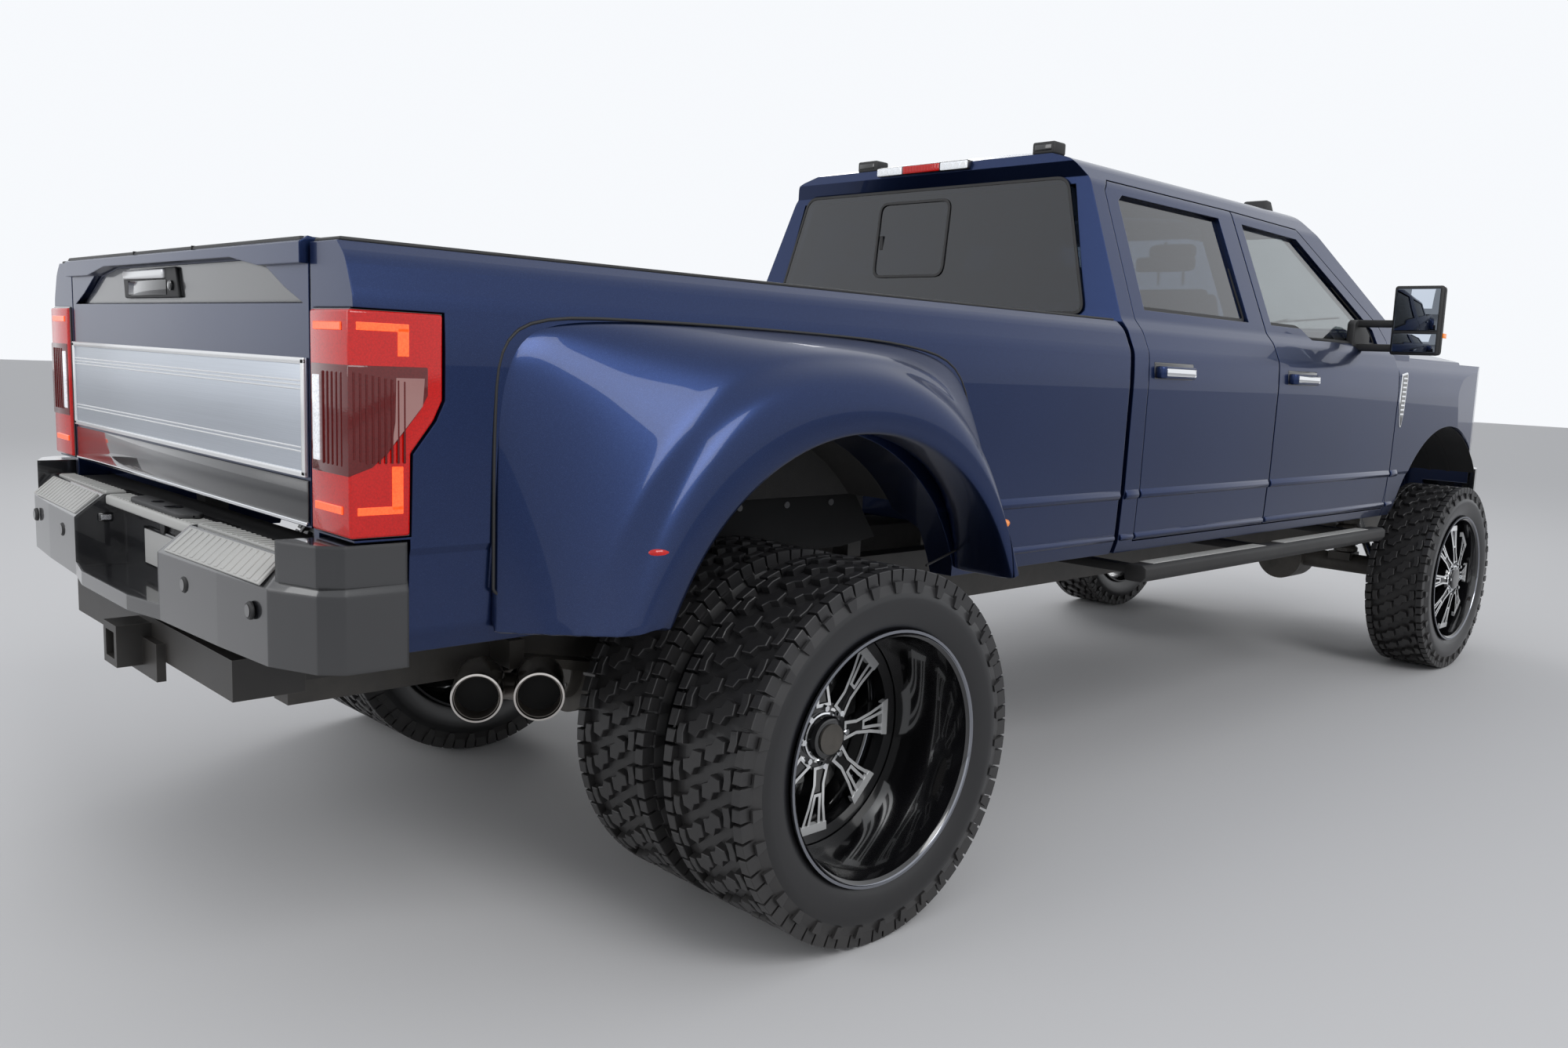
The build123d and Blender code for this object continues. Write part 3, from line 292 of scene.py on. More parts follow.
def makeFlakePaint(name, base, second, flake, dust):
    # Metallic paint under clear lacquer, rounded at its edges
    values = {"Coat Weight": 0.6, "Coat Roughness": 0.02, "Coat IOR": 1.38, "Metallic": 0.85}
    material = newMaterial(name, values)
    tree = material.node_tree
    place = objectPlace(tree)
    flakes = addNode(tree, "TexVoronoi", Vector=place, Scale=2600.0)
    broad = addNode(tree, "TexNoise", i0=place, Scale=1.3, Detail=3.0).outputs["Fac"]
    spark = addNode(tree, "SeparateXYZ", i0=flakes.outputs["Color"])
    glint = ranged(tree, spark.outputs["X"], 0.0, 0.5, 0.86)
    colour = tinted(tree, glint, tinted(tree, broad, base, second), flake)
    colour = tinted(tree, useGroup(tree, dustGroup, Amount=0.22, Top=1.1).outputs["Mask"], colour, dust)
    soft = useGroup(tree, edgeGroup, Radius=0.0035).outputs["Normal"]
    relief = addNode(tree, "Bump", Strength=0.02, Distance=0.0002, Height=spark.outputs["Y"], Normal=soft)
    rough = ranged(tree, broad, 0.24, 0.36)
    connect(material, Base_Color=colour, Roughness=rough, Coat_Normal=soft, Normal=relief.outputs[0])


def makeBrushed(name, base, along, rough, metal=0.92):
    # Brushed metal with its streaks along one axis
    material = newMaterial(name, {"Metallic": metal})
    tree = material.node_tree
    place = objectPlace(tree)
    stretch = addNode(tree, "Mapping", Vector=place, Scale=[3.0 if axis == along else 900.0 for axis in "xyz"])
    streaks = addNode(tree, "TexNoise", i0=stretch.outputs[0], Scale=1.0, Detail=4.0).outputs["Fac"]
    broad = addNode(tree, "TexNoise", i0=place, Scale=2.2, Detail=2.0).outputs["Fac"]
    colour = tinted(tree, streaks, [c * 0.8 for c in base], base)
    relief = addNode(tree, "Bump", Strength=0.08, Distance=0.0002, Height=streaks)
    spread = ranged(tree, broad, rough * 0.8, rough * 1.2)
    connect(material, Base_Color=colour, Roughness=spread, Normal=relief.outputs[0])


def makeGlass(name, tint, rough=0.01):
    # Tinted glass with faint smears
    values = {
        "Transmission Weight": 1.0, "IOR": 1.5, "Metallic": 0.0, "Coat Weight": 0.6, "Coat Roughness": 0.01,
    }
    material = newMaterial(name, values)
    tree = material.node_tree
    smears = addNode(tree, "TexNoise", i0=objectPlace(tree), Scale=6.0, Detail=6.0).outputs["Fac"]
    colour = tinted(tree, smears, tint, [c * 0.85 for c in tint])
    connect(material, Base_Color=colour, Roughness=ranged(tree, smears, rough, rough + 0.03))


def makeLens(name, tint, glow, clear=0.35):
    # Moulded lens: coloured, half see-through, with fine optics
    values = {"Transmission Weight": clear, "IOR": 1.45, "Coat Weight": 0.3, "Coat Roughness": 0.03}
    material = newMaterial(name, {**values, "Emission Strength": 1.0})
    tree = material.node_tree
    optics = addNode(tree, "TexVoronoi", Vector=objectPlace(tree), Scale=260.0).outputs["Distance"]
    relief = addNode(tree, "Bump", Strength=0.15, Distance=0.0005, Height=optics)
    connect(
        material,
        Base_Color=tinted(tree, optics, tint, [c * 0.7 for c in tint]),
        Emission_Color=tinted(tree, optics, glow, [c * 0.6 for c in glow]),
        Roughness=ranged(tree, optics, 0.05, 0.12),
        Normal=relief.outputs[0],
    )


print("materials")
makeFlakePaint(
    "navyPaint", (0.008, 0.020, 0.075), (0.011, 0.027, 0.095), (0.06, 0.11, 0.28), (0.22, 0.20, 0.18)
)
surface("glossBlack", (0.006, 0.006, 0.007), rough=0.16, grain=120, bump=0.01, Coat_Weight=1.0)
makeBrushed("milledSilver", (0.93, 0.94, 0.95), "x", 0.20, 0.4)
makeBrushed("brushedSilver", (0.62, 0.66, 0.72), "y", 0.34)
surface("darkChrome", (0.30, 0.31, 0.34), (0.22, 0.23, 0.26), rough=0.10, metal=1.0, grain=90, bump=0.01)
surface("chrome", (0.86, 0.87, 0.88), (0.80, 0.81, 0.83), rough=0.06, metal=1.0, grain=90, bump=0.01)
surface(
    "bumperGrey", (0.013, 0.0135, 0.016), rough=0.24, grain=700, bump=0.03, dust=0.15, Coat_Weight=0.9,
    edge=0.010,
)
# Pale grey tread pads: their own grey is made lighter to paint the sky's reflection on their tops
surface("padWithPaintedSheen", (0.42, 0.42, 0.41), (0.50, 0.50, 0.48), rough=0.62, grain=900, bump=0.3, dust=0.2)
surface(
    "chassisBlack", (0.012, 0.012, 0.013), (0.03, 0.028, 0.026), rough=0.5, grain=260, bump=0.2, wear=0.8,
    worn=(0.12, 0.11, 0.10), dust=0.75, edge=0.003,
)
surface(
    "castMetal", (0.20, 0.20, 0.21), (0.13, 0.13, 0.13), rough=0.55, metal=0.7, grain=500, bump=0.4, wear=0.6,
    dust=0.5, edge=0.003,
)
surface(
    "engineMetal", (0.09, 0.09, 0.10), (0.06, 0.06, 0.065), rough=0.5, metal=0.5, grain=300, bump=0.3, dust=0.2,
    dustTop=1.6,
)
surface("tankPlastic", (0.03, 0.03, 0.032), rough=0.62, grain=350, bump=0.25, dust=0.8)
makeBrushed("coreAluminium", (0.45, 0.46, 0.47), "z", 0.42)
surface(
    "springPaint", (0.015, 0.015, 0.016), (0.04, 0.036, 0.03), rough=0.4, grain=300, bump=0.15, wear=1.0,
    worn=(0.25, 0.2, 0.16), dust=0.6,
)
surface("arch", (0.010, 0.010, 0.011), rough=0.85, grain=800, bump=0.5, depth=0.001, dust=0.5)
surface(
    "bedLiner", (0.022, 0.022, 0.023), (0.032, 0.032, 0.033), rough=0.78, grain=420, bump=0.8, depth=0.0012,
    wear=0.5, worn=(0.14, 0.14, 0.14), dust=0.3, dustTop=1.8, edge=0.003,
)
surface("rawBlack", (0.016, 0.016, 0.017), rough=0.55, grain=600, bump=0.25, dust=0.2, edge=0.003)
surface(
    "hitchBlack", (0.010, 0.010, 0.011), (0.02, 0.018, 0.016), rough=0.45, grain=380, bump=0.2, wear=1.0,
    worn=(0.22, 0.2, 0.18), dust=0.3,
)
surface(
    "exhaustSteel", (
        0.30, 0.28, 0.26,
    ), (0.20, 0.17, 0.15), rough=0.4, metal=0.95, grain=200, bump=0.1, dust=0.5,
)
surface("tipSteel", (0.62, 0.60, 0.58), (0.5, 0.46, 0.42), rough=0.12, metal=1.0, grain=80, bump=0.02)
surface("soot", (0.008, 0.008, 0.008), rough=0.9, grain=500, bump=0.4)
surface(
    "rubber", (0.0075, 0.0078, 0.0095), (0.013, 0.013, 0.015), rough=0.5, grain=500, bump=0.3, depth=0.0006,
    dust=0.10, dustTop=1.2, Coat_Weight=0.2,
)
surface(
    "sidewall", (0.0035, 0.0036, 0.0048), (0.006, 0.0062, 0.0078), rough=0.32, grain=300, bump=0.08, dust=0.03,
    Coat_Weight=0.15,
)
surface(
    "dashPlastic", (0.035, 0.035, 0.038), (0.045, 0.045, 0.048), rough=0.68, grain=1400, bump=0.5, depth=0.0005,
)
surface("headliner", (0.30, 0.30, 0.31), (0.34, 0.34, 0.35), rough=0.9, grain=1800, bump=0.4)
surface("carpet", (0.020, 0.020, 0.022), (0.035, 0.035, 0.037), rough=0.95, grain=1500, bump=1.0, depth=0.002)
surface(
    "seatLeather", (0.040, 0.036, 0.034), (0.052, 0.047, 0.044), rough=0.48, grain=620, bump=0.5, depth=0.0006,
)
surface("screen", (0.004, 0.005, 0.007), rough=0.08, grain=50, bump=0.0, Coat_Weight=1.0)
makeGlass("privacyGlass", (0.075, 0.10, 0.15))
makeGlass("frontGlass", (0.30, 0.33, 0.34))
makeGlass("clearGlass", (0.80, 0.86, 0.85))
makeGlass("lampCover", (0.92, 0.95, 0.96), 0.0)
surface("mirrorGlass", (0.20, 0.22, 0.25), (0.16, 0.18, 0.21), rough=0.02, metal=1.0, grain=10, bump=0.0)
makeLens("redLens", (0.55, 0.002, 0.001), (0.16, 0.001, 0.0), 0.1)
makeLens("redBar", (0.9, 0.08, 0.02), (0.95, 0.14, 0.03), 0.1)
makeLens("smokedLens", (0.13, 0.008, 0.008), (0.020, 0.0, 0.0), 0.15)
makeLens("amberLens", (0.85, 0.30, 0.02), (0.35, 0.09, 0.0))
surface("lensShade", (0.42, 0.24, 0.22), (0.30, 0.12, 0.11), rough=0.25, grain=90, bump=0.05, Coat_Weight=1.0)
makeLens("smokedAmber", (0.10, 0.030, 0.008), (0.012, 0.003, 0.0), 0.2)
makeLens("lampEye", (0.75, 0.80, 0.86), (0.10, 0.11, 0.13), 0.5)
makeLens("lampStrip", (0.85, 0.88, 0.92), (0.5, 0.52, 0.55), 0.2)
surface(
    "shockPaint", (0.20, 0.21, 0.22), (0.15, 0.15, 0.16), rough=0.4, metal=0.3, grain=260, bump=0.1, dust=0.5,
)
surface("plateBlank", (0.55, 0.55, 0.54), (0.48, 0.48, 0.47), rough=0.45, grain=300, bump=0.05)
makeLens("clearLens", (0.80, 0.82, 0.84), (0.05, 0.05, 0.055), 0.7)


# Mesh helpers
def finishPiece(name, bm, materials, smooth=30, body="chassis", replaced=()):
    mesh = bpy.data.meshes.new(name)
    bm.to_mesh(mesh)
    bm.free()
    for label in materials:
        mesh.materials.append(finishes[label])
    mesh.shade_smooth()
    mesh.set_sharp_from_angle(angle=radians(smooth))
    piece = bpy.data.objects.new(name, mesh)
    scene.collection.objects.link(piece)
    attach(piece, body)
    if replaced:
        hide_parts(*replaced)
    return piece


def finishSide(name, word, bm, materials, smooth=30, body="chassis", replaced=(), shared=None):
    # Shapes are built for the left; a shared node is replaced by the left piece alone
    if word == "right":
        mirrorSide(bm)
    elif shared:
        replaced = [shared]
    finishPiece(name + "_" + word, bm, materials, smooth, body, replaced)


def facesAt(verts):
    return list({f for v in verts for f in v.link_faces})


def paint(faces, material):
    for face in faces:
        face.material_index = material


def roundEdges(bm, edges, offset, segments):
    return bmesh.ops.bevel(
        bm, geom=edges, offset=offset, segments=segments, affect="EDGES", profile=0.5, material=-1
    )


def pushOut(bm, faces, way):
    # Extrude faces along a way, and return the new verts
    made = bmesh.ops.extrude_face_region(bm, geom=faces, use_keep_orig=True)
    moved = [g for g in made["geom"] if isinstance(g, bmesh.types.BMVert)]
    bmesh.ops.translate(bm, vec=way, verts=moved)
    return moved


def addBox(bm, lowCorner, highCorner, bevel=0.0, segments=2, material=0):
    # A box between two corners, in metres, with rounded edges
    made = bmesh.ops.create_cube(bm, size=1.0)
    size = Vector(highCorner) - Vector(lowCorner)
    bmesh.ops.scale(bm, vec=size, verts=made["verts"])
    bmesh.ops.translate(bm, vec=(Vector(highCorner) + Vector(lowCorner)) / 2, verts=made["verts"])
    faces = facesAt(made["verts"])
    paint(faces, material)
    if bevel:
        roundEdges(bm, list({e for f in faces for e in f.edges}), bevel, segments)


def addSideBox(bm, side, near, far, *shape):
    # A box given for the left side, with side -1 for the right
    low, high = sorted((side * near[1], side * far[1]))
    addBox(bm, (near[0], low, near[2]), (far[0], high, far[2]), *shape)


def addPrism(bm, outline, depth, bevel=0.0, segments=2, material=0):
    # A flat outline of 3D points pushed along depth, with rounded edges
    verts = [bm.verts.new(p) for p in outline]
    faces = facesAt(verts + pushOut(bm, [bm.faces.new(verts)], depth))
    bmesh.ops.recalc_face_normals(bm, faces=faces)
    paint(faces, material)
    if bevel:
        roundEdges(bm, list({e for f in faces for e in f.edges}), bevel, segments)


def addSlab(bm, pairs, axis, level, depth, *shape):
    # A flat outline of pairs at a level along an axis, pushed depth along it
    k = "xyz".index(axis)
    push = [0, 0, 0]
    push[k] = depth
    addPrism(bm, [(*pair[:k], level, *pair[k:]) for pair in pairs], push, *shape)


def addTurned(bm, profile, steps=48, centre=(0, 0, 0), axis="Y", material=0, closed=True):
    # Turn a profile of (radius, along) about an axis
    start = []
    for r, a in profile:
        point = {"Y": (r, a, 0), "X": (a, r, 0), "Z": (r, 0, a)}[axis]
        start.append(bm.verts.new(Vector(centre) + Vector(point)))
    pairs = list(zip(start, start[1:])) + ([(start[-1], start[0])] if closed else [])
    edges = [bm.edges.new(pair) for pair in pairs]
    turn = {"Y": (0, 1, 0), "X": (1, 0, 0), "Z": (0, 0, 1)}[axis]
    before = set(bm.faces)
    bmesh.ops.spin(bm, geom=start + edges, cent=centre, axis=turn, angle=2 * pi, steps=steps, use_merge=True)
    faces = [f for f in bm.faces if f not in before]
    bmesh.ops.recalc_face_normals(bm, faces=faces)
    paint(faces, material)
    return faces


def addRing(bm, verts, count, axis=(0, 1, 0)):
    # Repeat a shape round an axis through the origin
    geom = list({g for v in verts if v.is_valid for g in [v, *v.link_edges, *v.link_faces]})
    bmesh.ops.spin(
        bm, geom=geom, cent=(0, 0, 0), axis=axis, angle=2 * pi * (count - 1) / count, steps=count - 1,
        use_duplicate=True,
    )


def mirrorSide(bm):
    bmesh.ops.scale(bm, vec=(1, -1, 1), verts=bm.verts)
    bmesh.ops.reverse_faces(bm, faces=bm.faces)


def addRingPlate(bm, outline, inner, depth):
    # A flat frame between an outline and its inner copy, pushed along depth
    outer = [bm.verts.new(p) for p in outline]
    within = [bm.verts.new(p) for p in inner]
    count = len(outer)
    outerEdges = [bm.edges.new((outer[i], outer[(i + 1) % count])) for i in range(count)]
    innerEdges = [bm.edges.new((within[i], within[(i + 1) % count])) for i in range(count)]
    made = bmesh.ops.bridge_loops(bm, edges=outerEdges + innerEdges)
    moved = pushOut(bm, made["faces"], depth)
    bmesh.ops.recalc_face_normals(bm, faces=facesAt(outer + within + moved))


def inset(points, amount):
    # Move an outline inwards by amount, in its own plane
    points = [Vector(p) for p in points]
    ring = list(zip(points[-1:] + points[:-1], points, points[1:] + points[:1]))
    normal = sum((here.cross(after) for before, here, after in ring), Vector()).normalized()
    result = []
    for before, here, after in ring:
        u = normal.cross(here - before).normalized()
        v = normal.cross(after - here).normalized()
        result.append(here + (u + v) * (amount / (1 + u.dot(v))))
    return result


def rounded(points, radius, steps=4):
    # Round the corners of an outline of 3D points
    points = [Vector(p) for p in points]
    result = []
    for before, here, after in zip(points[-1:] + points[:-1], points, points[1:] + points[:1]):
        a, b = before - here, after - here
        first = here + a.normalized() * min(radius, a.length * 0.45)
        last = here + b.normalized() * min(radius, b.length * 0.45)
        for i in range(steps + 1):
            t = i / steps
            result.append(first.lerp(here, t).lerp(here.lerp(last, t), t))
    return result


def addRod(bm, start, end, radius, segments=12, material=0):
    # A round bar between two points
    start, end = Vector(start), Vector(end)
    way = end - start
    made = bmesh.ops.create_cone(
        bm, cap_ends=True, segments=segments, radius1=radius, radius2=radius, depth=way.length,
    )
    turn = Matrix.Translation((start + end) / 2) @ way.to_track_quat("Z", "Y").to_matrix().to_4x4()
    bmesh.ops.transform(bm, matrix=turn, verts=made["verts"])
    paint(facesAt(made["verts"]), material)


# Tyres
tyre = {"radius": 0.4675, "width": 0.2995, "lugs": 34, "steps": 102}
frontAxleX, rearAxleX, axleZ = 2.415, -2.055, 0.468
wheelPlaces = {"front": 0.985, "rearOuter": 1.164, "rearInner": 0.806}

centreLug = [
    (-0.031, -0.004), (0.004, -0.003), (0.013, -0.024), (0.033, -0.034), (0.028, -0.066), (0.0, -0.070),
    (-0.008, -0.046), (-0.030, -0.036),
]
middleLug = [
    (-0.030, -0.076), (-0.006, -0.080), (0.020, -0.074), (0.024, -0.098), (-0.004, -0.104), (-0.028, -0.100),
]
shoulderLug = [(-0.024, -0.107), (0.018, -0.110), (0.022, -0.139), (-0.021, -0.139)]
sideLug = [(-0.016, 0.440), (0.016, 0.440), (0.010, 0.412), (-0.010, 0.412)]


def wrap(verts):
    # Lay flat verts round the tyre
    for v in verts:
        angle, radius = v.co.x / tyre["radius"], -v.co.z
        v.co.x, v.co.z = radius * sin(angle), -radius * cos(angle)


def addLug(bm, outline, side, shift, top, bottom, bevel=0.0018):
    # One tread block standing at the bottom of the tyre
    verts = [bm.verts.new((x + shift, side * y, -bottom)) for x, y in outline]
    crown = pushOut(bm, [bm.faces.new(verts)], (0, 0, bottom - top))
    middle = sum((v.co for v in crown), Vector()) / len(crown)
    bmesh.ops.scale(bm, vec=(0.93, 0.93, 1), verts=crown, space=Matrix.Translation(-middle))
    wrap(verts + crown)
    bmesh.ops.recalc_face_normals(bm, faces=facesAt(verts + crown))
    crownEdges = list({e for v in crown for e in v.link_edges if all(w in crown for w in e.verts)})
    bevelled = roundEdges(bm, crownEdges, bevel, 1)
    kept = [v for v in verts if v.is_valid]
    return list(set(kept) | set(bevelled["verts"]) | {w for v in kept for e in v.link_edges for w in e.verts})


def makeTyreMesh():
    bm = bmesh.new()
    half = tyre["width"] / 2
    section = [
        (0.3065, -0.118), (0.3075, -half + 0.024), (0.322, -half + 0.016), (0.350, -half + 0.006),
        (0.385, -half + 0.001),
    ]
    section += [
        (0.404, -half + 0.001), (0.410, -half + 0.004), (0.428, -half + 0.008), (0.441, -half + 0.016),
        (0.4475, -0.112), (0.4495, -0.06), (0.450, 0),
    ]
    section += [(r, -y) for r, y in reversed(section[:-1])]
    addTurned(bm, section, steps=tyre["steps"])
    for face in bm.faces:
        middle = face.calc_center_median()
        if middle.xz.length < 0.408:
            face.material_index = 1
    step = 2 * pi * tyre["radius"] / tyre["lugs"]
    top = tyre["radius"]
    for side in (1, -1):
        shift = 0 if side > 0 else step / 2
        for outline, offset in (
            (centreLug, 0.0), (middleLug, step * 0.42), (shoulderLug, step * 0.05), (shoulderLug, step * 0.55),
        ):
            scale = 0.8 if outline is shoulderLug and offset > step * 0.3 else 1.0
            points = [(side * x * scale, y) for x, y in outline]
            lowEnd = 0.425 if outline is shoulderLug else 0.440
            verts = addLug(bm, points, side, side * (offset + shift), top, lowEnd)
            addRing(bm, verts, tyre["lugs"])
        # Side biters below the shoulder
        verts = [bm.verts.new((x + shift, side * (half - 0.008), -z)) for x, z in sideLug]
        verts += pushOut(bm, [bm.faces.new(verts)], (0, side * 0.008, 0))
        wrap(verts)
        bmesh.ops.recalc_face_normals(bm, faces=facesAt(verts))
        addRing(bm, verts, tyre["lugs"])
    return bm


# Wheels
spokeOutline = [
    (-0.026, 0.078), (-0.020, 0.130), (-0.029, 0.190), (-0.047, 0.262), (-0.017, 0.266), (-0.009, 0.205),
    (-0.005, 0.165),
]
spokeOutline += [(-x, z) for x, z in reversed(spokeOutline)]
rim = {"lip": 0.3195, "seat": 0.3055, "half": 0.146, "spokes": 8, "steps": 96}


def addBarrel(bm, centreY):
    h = rim["half"]
    outer = [
        (rim["lip"], -h), (rim["lip"], -h + 0.006), (rim["seat"], -h + 0.022), (rim["seat"], -h + 0.04),
        (0.296, -0.05), (0.296, 0.05),
    ]
    outer += [(rim["seat"], h - 0.04), (rim["seat"], h - 0.022), (rim["lip"], h - 0.006), (rim["lip"], h)]
    inner = [
        (0.3125, h), (0.3105, h - 0.004), (0.3020, h - 0.010), (0.2995, h - 0.022), (0.2945, h - 0.05),
        (0.290, 0.0), (0.290, -h + 0.05), (0.300, -h + 0.02), (0.3105, -h + 0.004), (0.3125, -h),
    ]
    faces = addTurned(bm, outer + inner, steps=rim["steps"], centre=(0, centreY, 0), material=0)
    for face in faces:
        middle = face.calc_center_median()
        if middle.y > centreY + h - 0.005 and middle.xz.length > 0.309:
            face.material_index = 3


def addSpokes(bm, faceY, rimY, depth):
    # Forked spokes with a milled line round their faces
    verts = [bm.verts.new((x, faceY, -z)) for x, z in spokeOutline]
    face = bm.faces.new(verts)
    bmesh.ops.recalc_face_normals(bm, faces=[face])
    if face.normal.y < 0:
        face.normal_flip()
    back = pushOut(bm, [face], (0, -depth, 0))
    faces = facesAt(verts + back)
    bmesh.ops.recalc_face_normals(bm, faces=faces)
    front = [f for f in faces if f.normal.y > 0.9]
    ring = bmesh.ops.inset_region(bm, faces=front, thickness=0.0086, depth=0.0, use_even_offset=True)
    paint(ring["faces"], 1)
    inner = bmesh.ops.inset_region(bm, faces=front, thickness=0.0014, depth=-0.004, use_even_offset=True)
    paint(inner["faces"], 0)
    allVerts = set(verts) | set(back) | {v for f in ring["faces"] + inner["faces"] + front for v in f.verts}
    # Bright bar closing the fork's outer end
    corners = ((-0.045, 0.243), (0.045, 0.243), (0.050, 0.268), (-0.050, 0.268))
    bar = [bm.verts.new((x, faceY + 0.0008, -z)) for x, z in corners]
    bar += pushOut(bm, [bm.faces.new(bar)], (0, -0.014, 0))
    bmesh.ops.recalc_face_normals(bm, faces=facesAt(bar))
    paint(facesAt(bar), 1)
    allVerts |= set(bar)
    tilt = atan2(faceY - rimY, 0.262 - 0.078)
    foot = Matrix.Translation((0, faceY, -0.078))
    turn = foot @ Matrix.Rotation(-tilt, 4, "X") @ foot.inverted()
    bmesh.ops.transform(bm, matrix=turn, verts=list(allVerts))
    addRing(bm, list(allVerts), rim["spokes"])


def addHub(bm, faceY, backY, capHeight=0.026):
    addTurned(
        bm,
        [
            (0.0405, backY), (0.094, backY), (0.094, faceY - 0.012), (0.088, faceY - 0.003),
            (0.0405, faceY - 0.003),
        ],
        steps=64,
    )
    cap = [
        (0.0, faceY - 0.004), (0.058, faceY - 0.004), (0.058, faceY + capHeight * 0.6),
        (0.052, faceY + capHeight * 0.9), (0.040, faceY + capHeight), (0.0, faceY + capHeight),
    ]
    addTurned(bm, cap, steps=64, closed=False)
    ring = [(0.0585, faceY - 0.003), (0.064, faceY - 0.003), (0.063, faceY + 0.003), (0.0585, faceY + 0.004)]
    addTurned(bm, ring, steps=64, material=2)
    # Wheel nuts
    made = bmesh.ops.create_cone(bm, cap_ends=True, segments=6, radius1=0.0095, radius2=0.008, depth=0.022)
    turn = Matrix.Translation((0, faceY + 0.004, -0.076)) @ Matrix.Rotation(-pi / 2, 4, "X")
    bmesh.ops.transform(bm, matrix=turn, verts=made["verts"])
    paint(facesAt(made["verts"]), 2)
    addRing(bm, made["verts"], rim["spokes"])


def addBackDisc(bm, hubY, rimY, thickness):
    # The twin wheels' inner disc
    section = [
        (0.090, hubY), (0.150, hubY), (0.200, (hubY + rimY) / 2), (0.291, rimY), (0.291, rimY - thickness),
        (0.200, (hubY + rimY) / 2 - thickness), (0.150, hubY - thickness), (0.090, hubY - thickness),
    ]
    addTurned(bm, section, steps=64)


def makeFrontWheelMesh():
    bm = bmesh.new()
    addBarrel(bm, 0)
    addSpokes(bm, 0.128, 0.100, 0.034)
    addHub(bm, 0.126, -0.060, 0.014)
    return bm


def makeRearWheelMesh():
    bm = bmesh.new()
    for label in ("rearOuter", "rearInner"):
        addBarrel(bm, wheelPlaces[label] - wheelPlaces["front"])
    addSpokes(bm, 0.090, 0.067, 0.036)
    step = [(0.262, 0.066), (0.291, 0.070), (0.291, 0.028), (0.262, 0.028)]
    addTurned(bm, step, steps=96)
    addHub(bm, 0.089, -0.284, 0.03)
    addBackDisc(bm, 0.004, -0.079, 0.02)
    return bm


print("wheels and tyres")
wheelFinishes = ["glossBlack", "milledSilver", "chrome", "darkChrome"]
wheelPieces = (
    ("tyreFront", makeTyreMesh, (frontAxleX, "front"), ["rubber", "sidewall"], 30, "tyre_front_"),
    ("rearOuterTyre", makeTyreMesh, (rearAxleX, "rearOuter"), ["rubber", "sidewall"], 30, "tyre_rear_"),
    ("rearInnerTyre", makeTyreMesh, (rearAxleX, "rearInner"), ["rubber", "sidewall"], 30, ""),
    ("wheelFront", makeFrontWheelMesh, (frontAxleX, "front"), wheelFinishes, 32, "wheel_front_"),
    ("wheelRear", makeRearWheelMesh, (rearAxleX, "front"), wheelFinishes, 32, "wheel_rear_"),
)
for word in sides:
    for name, makeMesh, (x, place), looks, smooth, node in wheelPieces:
        bm = makeMesh()
        bmesh.ops.translate(bm, vec=(x, wheelPlaces[place], axleZ), verts=bm.verts)
        body = ("front_" if x > 0 else "rear_") + word + "_wheel"
        finishSide(name, word, bm, looks, smooth, body, [node + word] if node else ())


# Rear flares
flareLook = {"stations": 12, "archRadius": 0.6175, "archZ": 0.634}
flareFoot = [
    (-0.893, 0.838), (-0.893, 1.04), (-0.893, 1.24), (-0.885, 1.42), (-0.80, 1.484), (-0.48, 1.490),
    (-0.10, 1.488), (0.26, 1.480), (0.50, 1.446), (0.594, 1.33), (0.608, 1.08), (0.610, 0.838),
]
flareRings = [
    (0.980, flareFoot),
    (1.013, flareFoot),
    (
        1.040,
        [
            (-0.865, 0.838), (-0.860, 1.02), (-0.848, 1.20), (-0.815, 1.36), (-0.730, 1.452), (-0.45, 1.474),
            (-0.09, 1.478), (0.25, 1.468), (0.482, 1.425), (0.582, 1.31), (0.607, 1.07), (0.609, 0.838),
        ],
    ),
    (
        1.090,
        [
            (-0.810, 0.838), (-0.790, 0.99), (-0.755, 1.13), (-0.690, 1.29), (-0.575, 1.400), (-0.37, 1.452),
            (-0.08, 1.464), (0.22, 1.452), (0.440, 1.385), (0.548, 1.27), (0.600, 1.06), (0.607, 0.838),
        ],
    ),
    (
        1.135,
        [
            (-0.765, 0.838), (-0.735, 0.95), (-0.690, 1.06), (-0.610, 1.21), (-0.490, 1.345), (-0.31, 1.425),
            (-0.07, 1.447), (0.18, 1.434), (0.375, 1.355), (0.510, 1.22), (0.585, 1.045), (0.604, 0.838),
        ],
    ),
    (
        1.150,
        [
            (-0.745, 0.838), (-0.715, 0.935), (-0.671, 1.038), (-0.592, 1.178), (-0.474, 1.315), (-0.30, 1.408),
            (-0.07, 1.432), (0.16, 1.418), (0.345, 1.342), (0.482, 1.208), (0.566, 1.038), (0.600, 0.838),
        ],
    ),
    (
        1.196,
        [
            (-0.712, 0.840), (-0.684, 0.930), (-0.642, 1.025), (-0.566, 1.155), (-0.452, 1.285),
            (-0.285, 1.374), (-0.065, 1.398), (0.155, 1.384), (0.335, 1.312), (0.470, 1.184), (0.556, 1.026),
            (0.594, 0.840),
        ],
    ),
    (
        1.2165,
        [
            (-0.668, 0.842), (-0.642, 0.922), (-0.602, 1.010), (-0.530, 1.130), (-0.422, 1.248),
            (-0.268, 1.330), (-0.060, 1.352), (0.148, 1.340), (0.318, 1.272), (0.448, 1.152), (0.536, 1.008),
            (0.586, 0.842),
        ],
    ),
]


def addChain(bm, points):
    verts = [bm.verts.new(p) for p in points]
    return [bm.edges.new(pair) for pair in zip(verts, verts[1:])]


